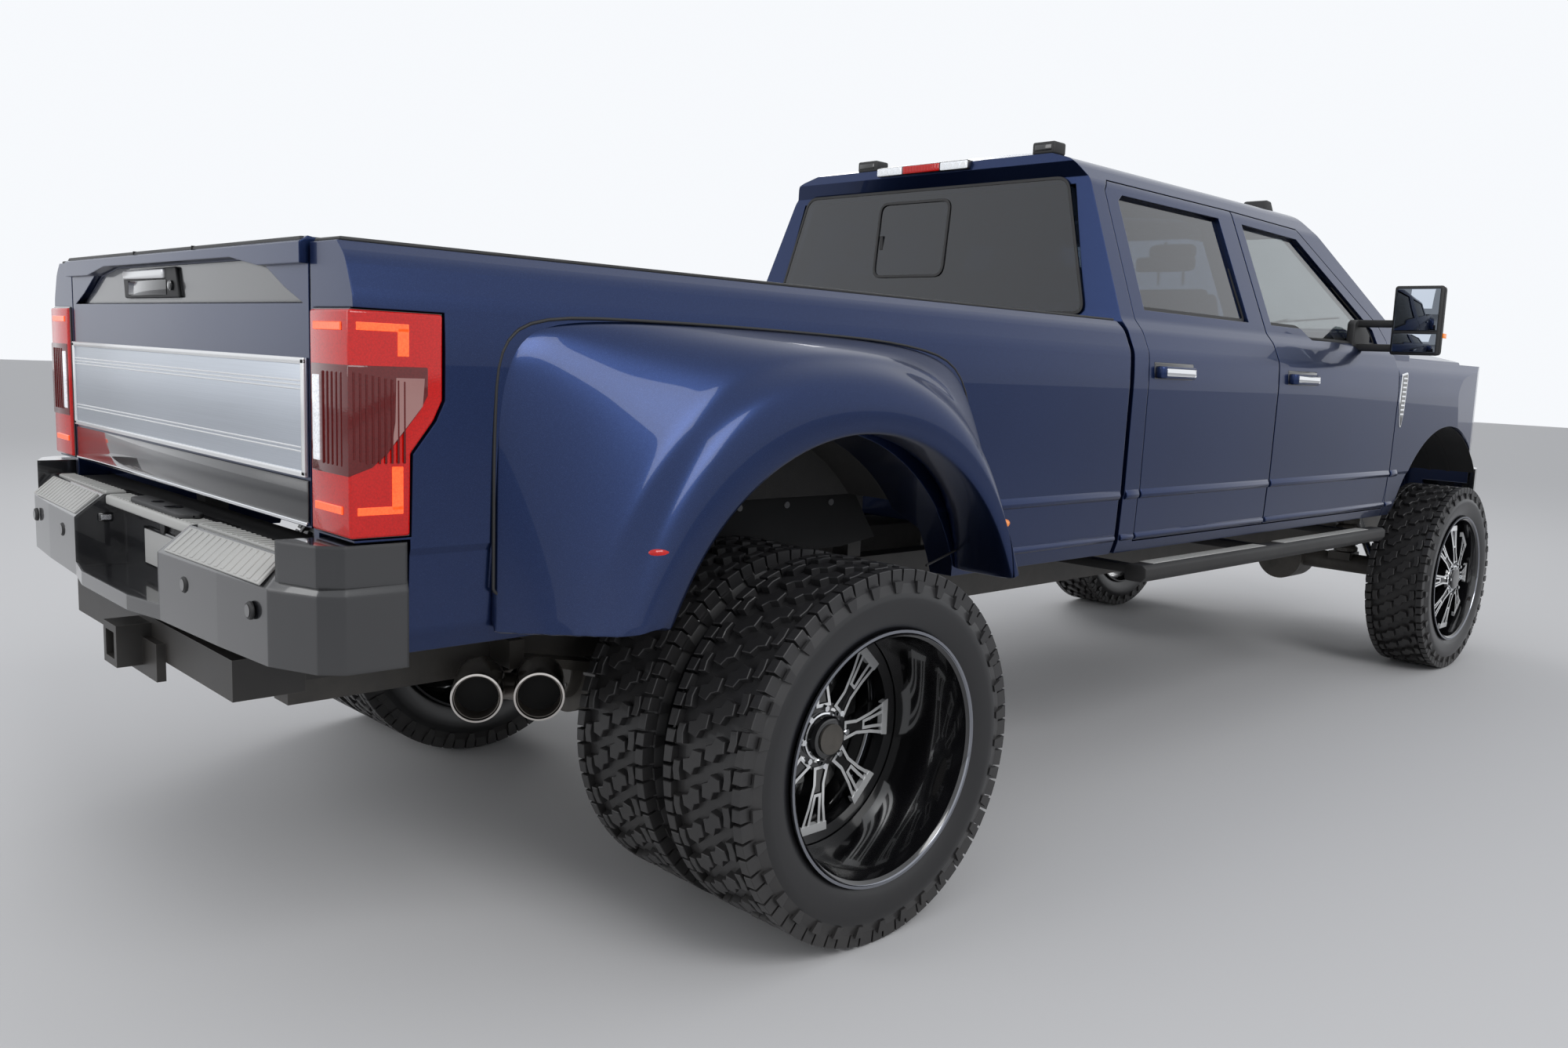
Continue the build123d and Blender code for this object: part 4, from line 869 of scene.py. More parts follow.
def makeFlare(word, side):
    bm = bmesh.new()
    chains = [addChain(bm, [(rearAxleX + x, y, z) for x, z in row]) for y, row in flareRings]
    count = flareLook["stations"]
    for y, radius in (
        (1.2165, 0.655), (1.212, 0.626), (1.195, flareLook["archRadius"]), (0.980, flareLook["archRadius"]),
    ):
        points = []
        for i in range(count):
            angle = radians(160.5 - i * 141.0 / (count - 1))
            points.append((rearAxleX + radius * cos(angle), y, flareLook["archZ"] + radius * sin(angle)))
        chains.append(addChain(bm, points))
    for first, second in zip(chains, chains[1:]):
        bmesh.ops.bridge_loops(bm, edges=first + second)
    bmesh.ops.bridge_loops(bm, edges=chains[-1] + chains[0])
    bmesh.ops.holes_fill(bm, edges=bm.edges, sides=0)
    bmesh.ops.recalc_face_normals(bm, faces=bm.faces)
    crease = bm.edges.layers.float.new("crease_edge")
    for edge in bm.edges:
        faces = edge.link_faces
        if len(faces) == 2 and (len(faces[0].verts) > 4) != (len(faces[1].verts) > 4):
            edge[crease] = 0.85
    for chain, amount in (
        (chains[0], 1.0), (chains[-1], 1.0), (chains[4], 0.5), (chains[5], 0.35), (chains[-2], 0.4),
    ):
        for edge in chain:
            if edge.is_valid:
                edge[crease] = amount
    if side < 0:
        bmesh.ops.scale(bm, vec=(1, -1, 1), verts=bm.verts)
        bmesh.ops.recalc_face_normals(bm, faces=bm.faces)
    piece = finishPiece("flare_" + word, bm, ["navyPaint"], 60, replaced=["rear_flares"] if side > 0 else [])
    smooth = piece.modifiers.new("smooth", "SUBSURF")
    smooth.levels = smooth.render_levels = 3


print("flares")
for word, side in sides.items():
    makeFlare(word, side)
    # Black rod where the flare meets the box side, for the joint and also a painted shadow line under the box
    # side's shoulder crease
    bm = bmesh.new()
    line = rounded([(rearAxleX + x, 1.0135, z) for x, z in flareFoot], 1.0, 4)
    line = [p for p in line if p.z > 0.86]
    for start, end in zip(line, line[1:]):
        if (end - start).length < 0.3:
            addRod(bm, start, end, 0.0035, 8)
    finishSide("flareShadeSeam", word, bm, ["rawBlack"], 40)
    y = side * 1.196
    # Side markers, red at the back and amber in front
    for label, x, z, finish in (("Rear", -2.665, 1.010, "redLens"), ("Front", -1.512, 1.000, "amberLens")):
        bm = bmesh.new()
        made = bmesh.ops.create_uvsphere(bm, u_segments=24, v_segments=12, radius=1.0)
        bmesh.ops.scale(bm, vec=(0.034, 0.014, 0.013), verts=made["verts"])
        angle = 0.32 if label == "Rear" else -0.32
        bmesh.ops.rotate(
            bm, cent=(0, 0, 0), matrix=Matrix.Rotation(side * angle * 0.6, 3, "Z"), verts=made["verts"],
        )
        bmesh.ops.translate(bm, vec=(x, y, z), verts=made["verts"])
        finishPiece("marker" + label + "_" + word, bm, [finish], 35)


# Tail lamps
tailLamp = {"inner": 0.842, "outer": 1.0135}
lampSide = [
    (-3.2385, 1.053), (-3.2385, 1.474), (-3.056, 1.474), (-3.056, 1.311), (-3.074, 1.272), (-3.120, 1.210),
    (-3.122, 1.053),
]
smokedSide = [
    (-3.2405, 1.168), (-3.2405, 1.374), (-3.086, 1.374), (-3.086, 1.320), (-3.101, 1.292), (-3.123, 1.264),
    (-3.167, 1.208), (-3.196, 1.184),
]


def makeTailLamp(word):
    bm = bmesh.new()
    # Black backing, then the red lens standing just proud of it
    back = [
        (-3.232, 1.050), (-3.232, 1.477), (-3.053, 1.477), (-3.053, 1.309), (-3.072, 1.269), (-3.117, 1.208),
        (-3.119, 1.050),
    ]
    addSlab(bm, back, "y", 0.840, 0.166, 0.002, 1)
    addSlab(bm, lampSide, "y", tailLamp["inner"], tailLamp["outer"] - tailLamp["inner"], 0.006, 3, 1)
    # Smoked centre wrapping the corner, with fine ribs
    addSlab(bm, smokedSide, "y", 0.849, 0.1665, 0.004, 2, 2)
    for i in range(9):
        x = -3.232 + i * 0.012
        addBox(bm, (x, 1.0145, 1.200 - min(i, 2) * 0.004), (x + 0.004, 1.0172, 1.362 - i * 0.002), 0.0008, 1, 2)
    # Reversing strip and smoked ribs at the back, and a pale blade on the outer side
    addBox(bm, (-3.2432, 0.862, 1.190), (-3.236, 0.890, 1.352), 0.002, 2, 6)
    for i in range(5):
        addBox(bm, (-3.2425, 0.902 + i * 0.020, 1.186), (-3.2395, 0.908 + i * 0.020, 1.360), 0.001, 1, 2)
    blade = [(-3.150, 1.352), (-3.094, 1.352), (-3.098, 1.300), (-3.160, 1.222), (-3.152, 1.270)]
    addSlab(bm, blade, "y", 1.0150, 0.0018, 0.0006, 1, 5)
    # Bright bars in two hooks
    for low, high in (
        ((-3.2415, 0.865, 1.436), (-3.2365, 0.985, 1.451)),
        ((-3.224, 1.0125, 1.437), (-3.124, 1.0152, 1.452)),
        ((-3.146, 1.0125, 1.392), (-3.124, 1.0152, 1.444)),
        ((-3.2415, 0.865, 1.096), (-3.2365, 0.985, 1.111)),
        ((-3.224, 1.0125, 1.096), (-3.136, 1.0152, 1.111)),
        ((-3.158, 1.0125, 1.104), (-3.136, 1.0152, 1.186)),
    ):
        addBox(bm, low, high, 0.001, 1, 3)
    finishSide(
        "tailLamp", word, bm,
        ["glossBlack", "redLens", "smokedLens", "redBar", "clearLens", "lensShade", "lampStrip"],
        shared="tail_lamps",
    )


print("tail lamps")
for word in sides:
    makeTailLamp(word)


# Tailgate
gate = {"face": -3.228, "half": 0.808}


def makeTailgateParts():
    half = gate["half"]
    face = gate["face"]
    # Brushed band with raised borders and shallow flutes
    bm = bmesh.new()
    addBox(bm, (face - 0.006, -half, 1.148), (face - 0.0002, half, 1.381), 0.002)
    for z0, z1 in ((1.368, 1.381), (1.148, 1.160)):
        addBox(bm, (face - 0.0098, -half, z0), (face - 0.004, half, z1), 0.0022, 2, 1)
    for side in (1, -1):
        addSideBox(bm, side, (face - 0.0098, half - 0.016, 1.150), (face - 0.004, half, 1.379), 0.0022, 2, 1)
    for z in (1.196, 1.204, 1.318, 1.326, 1.334):
        addBox(bm, (face - 0.0076, -half + 0.022, z), (face - 0.004, half - 0.022, z + 0.0035), 0.001, 1, 1)
    finishPiece(
        "tailgateBand", bm, ["brushedSilver", "milledSilver"], body="tailgate", replaced=["tailgate_trim"],
    )
    # Recess panel with the handle pod
    bm = bmesh.new()
    outline = [
        (0.784, 1.487), (0.698, 1.514), (0.598, 1.556), (0.450, 1.577), (-0.450, 1.577), (-0.598, 1.556),
        (-0.698, 1.514), (-0.784, 1.487),
    ]
    addSlab(bm, outline, "x", face + 0.0176, -0.003, 0.0015, 1)
    addSlab(
        bm, [(0.360, 1.500), (0.372, 1.568), (-0.030, 1.572), (-0.052, 1.500)], "x", face + 0.015, -0.009,
        0.004, 2, 1,
    )
    addBox(bm, (face - 0.001, 0.040, 1.546), (face + 0.010, 0.350, 1.568), 0.004, 3, 2)
    addBox(bm, (face + 0.0045, 0.030, 1.506), (face + 0.0075, 0.325, 1.543), 0.003, 2, 3)
    addTurned(
        bm, [(0.0, 0.0), (0.012, 0.0), (0.012, -0.008), (0.009, -0.011), (0.0, -0.012)], 24,
        (face + 0.008, -0.012, 1.528), "X", 3, False,
    )
    finishPiece("tailgateRecess", bm, ["bumperGrey", "rawBlack", "milledSilver", "glossBlack"], body="tailgate")
    # Lower panel, step seam and top cap
    bm = bmesh.new()
    addBox(bm, (face - 0.004, -half, 1.056), (face - 0.0002, half, 1.142), 0.0018)
    addBox(bm, (face - 0.008, -half, 1.052), (face - 0.0002, half, 1.060), 0.002, 2, 1)
    addBox(bm, (face - 0.012, -0.806, 1.588), (face + 0.058, 0.806, 1.6115), 0.006, 3, 2)
    for y in (-0.21, 0.21):
        addBox(bm, (face - 0.0136, y - 0.002, 1.583), (face + 0.06, y + 0.002, 1.6118), 0.0006, 1, 3)
    finishPiece("tailgatePanel", bm, ["bumperGrey", "chrome", "rawBlack", "soot"], body="tailgate")


print("tailgate")
makeTailgateParts()


# Rear bumper, with sloped outer pads and flat inner pads
def addRibbedPad(bm, corners, ribs, lift=0.004):
    # A moulded tread pad on a sloped quad, with raised ribs running front to back
    a, b, c, d = [Vector(p) for p in corners]
    normal = (b - a).cross(d - a).normalized()
    if normal.z < 0:
        normal = -normal
    addPrism(bm, [p - normal * 0.002 for p in (a, b, c, d)], normal * (lift + 0.002), 0.0016)
    for i in range(ribs):
        t0 = (i + 0.28) / ribs
        t1 = (i + 0.72) / ribs
        quad = [a.lerp(b, t0), a.lerp(b, t1), d.lerp(c, t1), d.lerp(c, t0)]
        middle = sum(quad, Vector()) / 4
        quad = [middle + (p - middle) * 0.9 for p in quad]
        addPrism(bm, [p + normal * (lift - 0.0005) for p in quad], normal * 0.0028, 0.0009, 1)


bumperPads = (
    ([(0.031, 0.350, 0.9495), (0.049, 0.835, 0.9495), (0.099, 0.830, 0.9965), (0.085, 0.350, 0.9965)], 15),
    ([(0.100, 0.342, 1.0), (0.108, 0.825, 1.0), (0.147, 0.825, 1.0), (0.147, 0.342, 1.0)], 17),
)


def makeBumperParts():
    rear = -3.385
    bm = bmesh.new()
    for side in (1, -1):
        for corners, ribs in bumperPads:
            addRibbedPad(bm, [(rear + x, side * y, z) for x, y, z in corners], ribs)
    finishPiece("bumperPads", bm, ["padWithPaintedSheen"])
    # Sensors in the face, and plate lamps on the notch's sides
    bm = bmesh.new()
    for side in (1, -1):
        for i in range(2):
            y = side * (0.47 + i * 0.33)
            x = rear + 0.0305 + (0.0 if i == 0 else 0.0125)
            addTurned(
                bm, [(0.0, -0.003), (0.016, -0.003), (0.018, 0.0), (0.018, 0.004), (0.0, 0.004)], 32,
                (x, y, 0.895), "X", 0, False,
            )
            addTurned(
                bm, [(0.0, -0.0045), (0.0125, -0.0045), (0.0125, 0.0), (0.0, 0.0)], 32, (x, y, 0.895), "X", 1,
                False,
            )
        addSideBox(bm, side, (rear + 0.075, 0.318, 0.930), (rear + 0.110, 0.3245, 0.952), 0.003, 2, 1)
        addSideBox(bm, side, (rear + 0.080, 0.317, 0.934), (rear + 0.105, 0.3235, 0.948), 0.002, 2, 2)
    # Blank plate and its frame in the notch
    addBox(bm, (rear + 0.134, -0.160, 0.838), (rear + 0.1395, 0.160, 0.938), 0.003, 2, 1)
    addBox(bm, (rear + 0.1325, -0.150, 0.845), (rear + 0.1345, 0.150, 0.931), 0.001, 1, 3)
    # Step plate behind the notch and under the tailgate, with the trailer sockets' pod on it
    addBox(bm, (rear + 0.093, -0.323, 0.974), (rear + 0.152, 0.323, 0.9992), 0.006, 3, 4)
    addBox(bm, (rear + 0.148, -0.835, 0.984), (rear + 0.250, 0.835, 0.9992), 0.002)
    for i in range(26):
        y = -0.315 + i * 0.0245
        addBox(bm, (rear + 0.100, y, 0.9985), (rear + 0.148, y + 0.011, 1.0014), 0.0008, 1, 4)
    pod = rounded(
        [
            (rear + 0.098, -0.235, 1.0), (rear + 0.098, 0.150, 1.0), (rear + 0.150, 0.165, 1.0),
            (rear + 0.150, -0.250, 1.0),
        ],
        0.03, 5,
    )
    addPrism(bm, pod, (0, 0, 0.0125), 0.004, 3)
    for y, radius in ((-0.105, 0.026), (0.010, 0.018)):
        addTurned(
            bm, [(0.0, -0.008), (radius, -0.008), (radius, 0.0), (0.0, 0.0)], 32, (rear + 0.140, y, 0.952), "X",
            0, False,
        )
        addTurned(
            bm, [(0.0, 0.0), (radius * 0.8, 0.0), (radius * 0.8, 0.003), (0.0, 0.003)], 32,
            (rear + 0.124, y, 1.0115), "Z", 1, False,
        )
    finishPiece("bumperFittings", bm, ["rawBlack", "glossBlack", "clearLens", "plateBlank", "padWithPaintedSheen"])


print("rear bumper")
makeBumperParts()


# Exhaust tips
def makeExhaustTips():
    bm = bmesh.new()
    ring = [
        (0.0575, -0.166), (0.0592, -0.120), (0.0592, 0.0), (0.0580, 0.006), (0.0535, 0.007), (0.0515, 0.003),
        (0.0505, -0.060), (0.0, -0.060), (0.0, -0.166),
    ]
    for x, y in ((-2.720, -0.547), (-2.600, -0.620)):
        faces = addTurned(bm, ring, 64, (0, 0, 0), "Y", 0, False)
        verts = list({v for f in faces for v in f.verts})
        for f in faces:
            middle = f.calc_center_median()
            if middle.y < 0.0 and middle.xz.length < 0.0512:
                f.material_index = 1
        way = Vector((-0.089, -0.145, 0)).normalized()
        turn = Matrix.Rotation(atan2(way.y, way.x) - pi / 2, 4, "Z")
        endPoint = Matrix.Translation((x - 0.0895, y - 0.1458, 0.610))
        bmesh.ops.transform(bm, matrix=endPoint @ turn, verts=verts)
    bmesh.ops.recalc_face_normals(bm, faces=bm.faces)
    finishPiece("exhaustTips", bm, ["tipSteel", "soot"], 40)


print("exhaust")
makeExhaustTips()


# Roof lamps and the high stop lamp
roof = {"markers": (-0.56, -0.28, 0.0, 0.28, 0.56), "markerX": 1.003, "stopY": 0.232}


def makeRoofLamps():
    bm = bmesh.new()
    x = roof["markerX"]
    for y in roof["markers"]:
        top = 2.2315 - abs(y) * 0.02
        lowZ = 2.186 - abs(y) * 0.045
        base = [
            (x + 0.102, lowZ), (x, lowZ), (x + 0.004, top - 0.006), (x + 0.022, top), (x + 0.060, top - 0.003),
        ]
        addSlab(bm, base, "y", y - 0.052, 0.104, 0.005, 3)
        low = lowZ + 0.012
        lens = [(x + 0.096, low), (x + 0.062, low), (x + 0.064, top - 0.0045), (x + 0.070, top - 0.010)]
        addSlab(bm, lens, "y", y - 0.044, 0.088, 0.003, 2, 1)
    finishPiece("roofMarkers", bm, ["rawBlack", "smokedAmber"])
    # Stop lamp: black tray, clear ends and a red middle
    bm = bmesh.new()
    addBox(bm, (-0.596, -roof["stopY"], 2.1535), (-0.552, roof["stopY"], 2.1885), 0.006, 3)
    addBox(bm, (-0.5985, -0.094, 2.1565), (-0.570, 0.094, 2.1855), 0.004, 2, 1)
    for side in (1, -1):
        addSideBox(bm, side, (-0.5985, 0.098, 2.1565), (-0.570, 0.230, 2.1855), 0.004, 2, 2)
        for i in range(4):
            y = side * (0.116 + i * 0.032)
            addTurned(
                bm, [(0.0, -0.0012), (0.010, -0.0012), (0.010, 0.0), (0.0, 0.0)], 20, (-0.5982, y, 2.171), "X",
                3, False,
            )
    for i in range(12):
        addBox(bm, (-0.5995, -0.086 + i * 0.0146, 2.160), (-0.5980, -0.078 + i * 0.0146, 2.182), 0.0006, 1, 1)
    finishPiece("stopLamp", bm, ["glossBlack", "redLens", "lampStrip", "chrome"], replaced=["roof_lamps"])
    # Two dark blocks standing on the roof's rear edge
    bm = bmesh.new()
    for low, high in ((-0.602, -0.505), (0.262, 0.366)):
        addBox(bm, (-0.570, low, 2.182), (-0.498, high, 2.227), 0.008, 3)
        addBox(bm, (-0.5715, low + 0.012, 2.196), (-0.560, high - 0.012, 2.216), 0.002, 2, 1)
    finishPiece("roofBlocks", bm, ["rawBlack", "glossBlack"], 32)


print("roof lamps")
makeRoofLamps()


# Rear window: one flush dark pane over the opening, with its sliding part
rearGlass = {
    "slope": 0.1088,
    "skin": [(-0.80, 1.622), (0.80, 1.622), (0.662, 2.104), (-0.662, 2.104)],
    "slider": [(-0.135, 1.762), (0.235, 1.762), (0.235, 2.058), (-0.135, 2.058)],
}


def rearGlassPoint(y, z, out=0.0):
    return (-0.5752 + (z - 1.85) * rearGlass["slope"] - out, y, z)


def makeRearGlassParts():
    bm = bmesh.new()
    skin = rounded([rearGlassPoint(y, z, 0.0045) for y, z in rearGlass["skin"]], 0.05, 6)
    addPrism(bm, skin, (-0.0035, 0, 0))
    finishPiece("rearGlassSkin", bm, ["privacyGlass"])
    bm = bmesh.new()
    edge = rounded([rearGlassPoint(y, z, 0.0082) for y, z in rearGlass["skin"]], 0.05, 6)
    addRingPlate(bm, edge, inset(edge, 0.011), (-0.0012, 0, 0))
    line = rounded([rearGlassPoint(y, z, 0.0082) for y, z in rearGlass["slider"]], 0.045, 6)
    addRingPlate(bm, line, inset(line, 0.010), (-0.0045, 0, 0))
    pull = rearGlassPoint(0.205, 1.90, 0.0082)
    addBox(bm, (pull[0] - 0.004, 0.198, 1.872), (pull[0] + 0.001, 0.214, 1.928), 0.001, 1)
    finishPiece("rearGlassFrame", bm, ["rawBlack"])


print("rear glass")
makeRearGlassParts()


# Doors: handles, window seals and mouldings
doorSide = {
    "handleZ": 1.437,
    "handles": {"rear": -0.470, "front": 0.545},
    "spans": {"rear": (-0.506, 0.444), "front": (0.466, 1.677)},
    "seals": {"rear": (-0.440, 0.432), "front": (0.528, 1.550)},
}
bodyRows = [
    (0.816, 0.982), (0.86, 0.996), (1.012, 1.004), (1.026, 1.009), (1.42, 1.0155), (1.50, 1.008), (1.55, 0.991),
    (1.60, 0.953),
]


def skinY(z):
    for (z0, y0), (z1, y1) in zip(bodyRows, bodyRows[1:]):
        if z <= z1:
            return y0 + (y1 - y0) * (z - z0) / (z1 - z0)
    return bodyRows[-1][1]


def addRidges(bm, start, end):
    # The two paint-coloured creases along the body side
    for section in (
        [(0.996, 0.999), (1.0125, 1.007), (1.0165, 1.017), (1.0135, 1.028), (1.004, 1.046)],
        [(0.990, 0.856), (1.0035, 0.864), (1.0055, 0.871), (1.0025, 0.879), (0.992, 0.888)],
    ):
        addSlab(bm, section, "x", start, end - start, 0.0025, 3)


def makeBodyRidges():
    for word in sides:
        bm = bmesh.new()
        for start, end in ((-1.428, -0.637), (-0.598, -0.520), (1.699, 1.775)):
            addRidges(bm, start, end)
        finishSide("bodyCrease", word, bm, ["navyPaint"], 40)


def makeDoorParts(word, which):
    body = bodyOf["door_" + which + "_" + word]
    z, y = doorSide["handleZ"], skinY(doorSide["handleZ"])
    x = doorSide["handles"][which]
    # Handle: a bridge standing over a dished cup
    bm = bmesh.new()
    addBox(bm, (x - 0.012, y - 0.006, z - 0.034), (x + 0.252, y + 0.0012, z + 0.034), 0.005, 3, 1)
    grip = [
        (x, y), (x + 0.004, y + 0.022), (x + 0.020, y + 0.032), (x + 0.215, y + 0.032), (x + 0.232, y + 0.022),
        (x + 0.236, y),
    ]
    grip += [(x + 0.205, y), (x + 0.196, y + 0.016), (x + 0.040, y + 0.016), (x + 0.031, y)]
    addSlab(bm, grip, "z", z - 0.021, 0.042, 0.006, 3)
    addBox(bm, (x + 0.020, y + 0.0285, z - 0.013), (x + 0.215, y + 0.0340, z + 0.015), 0.005, 3, 2)
    # Waist seal along the foot of the glass, and the creases
    x0, x1 = doorSide["seals"][which]
    addBox(bm, (x0, 0.9300, 1.6025), (x1, 0.9440, 1.6160), 0.003, 2, 3)
    addRidges(bm, *doorSide["spans"][which])
    finishSide("doorTrim_" + which, word, bm, ["navyPaint", "glossBlack", "chrome", "rawBlack"], 32, body=body)


def makeWindowSeal(word, which):
    # Rubber and black border round a door glass, lying on its outer face
    body = bodyOf["glass_" + which + "_" + word]
    if which == "rear":
        corner = [(-0.436, 1.648), (-0.404, 2.030), (-0.370, 2.054), (0.330, 2.054), (0.330, 1.648)]
    else:
        corner = [
            (0.520, 1.648), (0.520, 2.052), (1.010, 2.042), (1.560, 1.680), (1.572, 1.610), (0.860, 1.604),
            (0.790, 1.648),
        ]
    slope = (0.739 - 0.912) / (2.054 - 1.648)
    bm = bmesh.new()
    outline = rounded([(x, 0.9132 + slope * (z - 1.648), z) for x, z in corner], 0.03)
    addRingPlate(bm, outline, inset(outline, 0.014), (0, 0.0016, 0.0006))
    finishSide("windowSeal_" + which, word, bm, ["rawBlack"], body=body)


print("doors")
makeBodyRidges()
for word in sides:
    for which in ("front", "rear"):
        makeDoorParts(word, which)
        makeWindowSeal(word, which)


# The box's rails on both sides, and the fuel door on the left
def makeBoxParts():
    bm = bmesh.new()
    for side in (1, -1):
        addSideBox(bm, side, (-3.222, 0.829, 1.5985), (-0.640, 0.943, 1.6075), 0.004, 3)
        addSideBox(bm, side, (-3.222, 0.8265, 1.560), (-0.640, 0.833, 1.602), 0.002)
        # Stake pockets
        for x in (-3.02, -1.98, -0.90):
            addSideBox(bm, side, (x - 0.045, 0.850, 1.6065), (x + 0.045, 0.905, 1.6095), 0.002, 2, 1)
        # Tie-down hooks
        for x in (-2.95, -0.78):
            addTurned(
                bm, [(0.020, -0.004), (0.028, -0.004), (0.028, 0.004), (0.020, 0.004)], 28,
                (x, side * 0.815, 1.36), "Y", 2,
            )
            addSideBox(bm, side, (x - 0.018, 0.815, 1.375), (x + 0.018, 0.826, 1.402), 0.003, 2, 2)
    finishPiece("boxRails", bm, ["rawBlack", "glossBlack", "chrome"], 32)
    bm = bmesh.new()
    addTurned(
        bm, [(0.0, 0.0), (0.082, 0.0), (0.084, -0.002), (0.084, -0.006), (0.0, -0.006)], 64, (0, 0, 0), "Y", 0,
        False,
    )
    bmesh.ops.translate(bm, vec=(-0.86, 1.0162, 1.33), verts=bm.verts)
    addTurned(
        bm, [(0.0845, -0.001), (0.0875, -0.001), (0.0875, 0.0008), (0.0845, 0.0008)], 64, (-0.86, 1.0145, 1.33),
        "Y", 1,
    )
    finishPiece("fuelDoor", bm, ["navyPaint", "glossBlack"])


print("box")
makeBoxParts()


# Mirrors
def makeMirror(word):
    bm = bmesh.new()
    # Head, tapering forwards
    plan = [(1.262, 1.122), (1.262, 1.326), (1.300, 1.3265), (1.336, 1.300), (1.3395, 1.146), (1.300, 1.124)]
    addSlab(bm, plan, "z", 1.566, 0.290, 0.016, 4)
    # Bezel and two glasses facing backwards
    addBox(bm, (1.2475, 1.122, 1.564), (1.270, 1.3285, 1.858), 0.012, 3)
    addBox(bm, (1.2455, 1.134, 1.668), (1.2490, 1.316, 1.846), 0.004, 2, 1)
    addBox(bm, (1.2455, 1.134, 1.576), (1.2490, 1.316, 1.656), 0.004, 2, 1)
    # Turn lamps
    addBox(bm, (1.3340, 1.160, 1.690), (1.3415, 1.290, 1.708), 0.003, 2, 2)
    addBox(bm, (1.290, 1.3235, 1.640), (1.330, 1.3292, 1.660), 0.002, 2, 2)
    # Two arms, and their foot on the door
    for z in (1.595, 1.700):
        addBox(bm, (1.2905, 0.941, z - 0.0175), (1.3295, 1.135, z + 0.0145), 0.008, 3)
    foot = [(1.262, 1.562), (1.262, 1.700), (1.285, 1.714), (1.345, 1.714), (1.438, 1.652), (1.438, 1.562)]
    addSlab(bm, foot, "y", 0.9215, 0.037, 0.008, 3)
    finishSide(
        "mirrorHead", word, bm, ["rawBlack", "mirrorGlass", "amberLens"], 35, body=bodyOf["mirror_" + word],
        replaced=["mirror_" + word],
    )


print("mirrors")
for word in sides:
    makeMirror(word)


# Side steps
def makeSideStep(word):
    bm = bmesh.new()
    section = [
        (0.951, 0.712), (0.951, 0.754), (0.962, 0.766), (1.022, 0.7685), (1.0385, 0.757), (1.0385, 0.726),
        (1.020, 0.7065), (0.960, 0.7065),
    ]
    addSlab(bm, section, "x", -0.478, 2.116, 0.005)
    for start in (-0.40, 0.62):
        addBox(bm, (start, 0.962, 0.7660), (start + 0.86, 1.020, 0.7690), 0.001, 2, 1)
        for i in range(21):
            x = start + 0.02 + i * 0.040
            addBox(bm, (x, 0.966, 0.7685), (x + 0.022, 1.016, 0.7699), 0.0, 1, 1)
    for x in (-0.405, 0.575, 1.535):
        bracket = [(0.4755, 0.716), (0.4755, 0.754), (0.955, 0.750), (0.955, 0.720)]
        addSlab(bm, bracket, "x", x, 0.050, 0.004)
    finishSide("sideStep", word, bm, ["rawBlack", "padWithPaintedSheen"], 32, shared="side_steps")


print("side steps")
for word in sides:
    makeSideStep(word)


# Front end
nose = {"grilleFace": 3.225, "half": 0.56, "openings": ((1.050, 1.195), (1.230, 1.300), (1.335, 1.450))}


def makeGrilleParts():
    face = nose["grilleFace"]
    half = nose["half"] - 0.04
    bm = bmesh.new()
    for low, high in nose["openings"]:
        # Bright frame round each opening, and a grid of fins inside
        loops = []
        for w, h in ((0.012, 0.010), (0, 0)):
            y, bottom, top = half + w, low - h, high + h
            loops.append([(face - 0.004, *p) for p in ((-y, bottom), (-y, top), (y, top), (y, bottom))])
        addRingPlate(bm, *loops, (0.0095, 0, 0))
        rows = max(1, round((high - low) / 0.024))
        for i in range(1, rows):
            z = low + (high - low) * i / rows
            addBox(bm, (face - 0.052, -half, z - 0.0022), (face - 0.036, half, z + 0.0022), 0.0008, 1, 1)
        for i in range(-20, 21):
            y = i * 0.0255
            addBox(bm, (face - 0.050, y - 0.0020, low), (face - 0.040, y + 0.0020, high), 0.0, 1, 1)
    # Two bright bars across
    for z in (1.2125, 1.3175):
        addBox(bm, (face - 0.003, -half, z - 0.011), (face + 0.0048, half, z + 0.011), 0.003, 3)
    finishPiece("grilleTrim", bm, ["chrome", "glossBlack"])


def addHeadlamp(bm):
    # Dark bowl, four projector eyes, a light hook and an amber end
    plan = [
        (3.124, 0.884), (3.150, 0.866), (3.182, 0.800), (3.202, 0.700), (3.206, 0.640), (3.206, 0.568),
        (3.124, 0.568),
    ]
    addSlab(bm, plan, "z", 1.064, 0.412, 0.004)
    for y, z, x in ((0.640, 1.375, 3.206), (0.640, 1.255, 3.206), (0.745, 1.375, 3.193), (0.745, 1.255, 3.193)):
        addTurned(
            bm,
            [
                (0.0, 0.002), (0.030, 0.002), (0.036, 0.010), (0.042, 0.0135), (0.046, 0.010), (0.046, -0.010),
                (0.0, -0.010),
            ],
            40, (x, y, z), "X", 1, False,
        )
        addTurned(
            bm, [(0.0, 0.0125), (0.014, 0.0110), (0.024, 0.0070), (0.029, 0.002), (0.0, 0.002)], 40, (x, y, z),
            "X", 2, False,
        )
    for low, high in (
        ((3.200, 0.580, 1.446), (3.213, 0.700, 1.460)),
        ((3.200, 0.580, 1.080), (3.213, 0.700, 1.094)),
        ((3.200, 0.576, 1.080), (3.213, 0.588, 1.460)),
    ):
        addBox(bm, low, high, 0.003, 2, 3)
    addSlab(
        bm, ((3.128, 0.8845), (3.152, 0.8665), (3.180, 0.806), (3.186, 0.790), (3.160, 0.780), (3.124, 0.850)),
        "z", 1.110, 0.120, 0.003, 2, 4,
    )


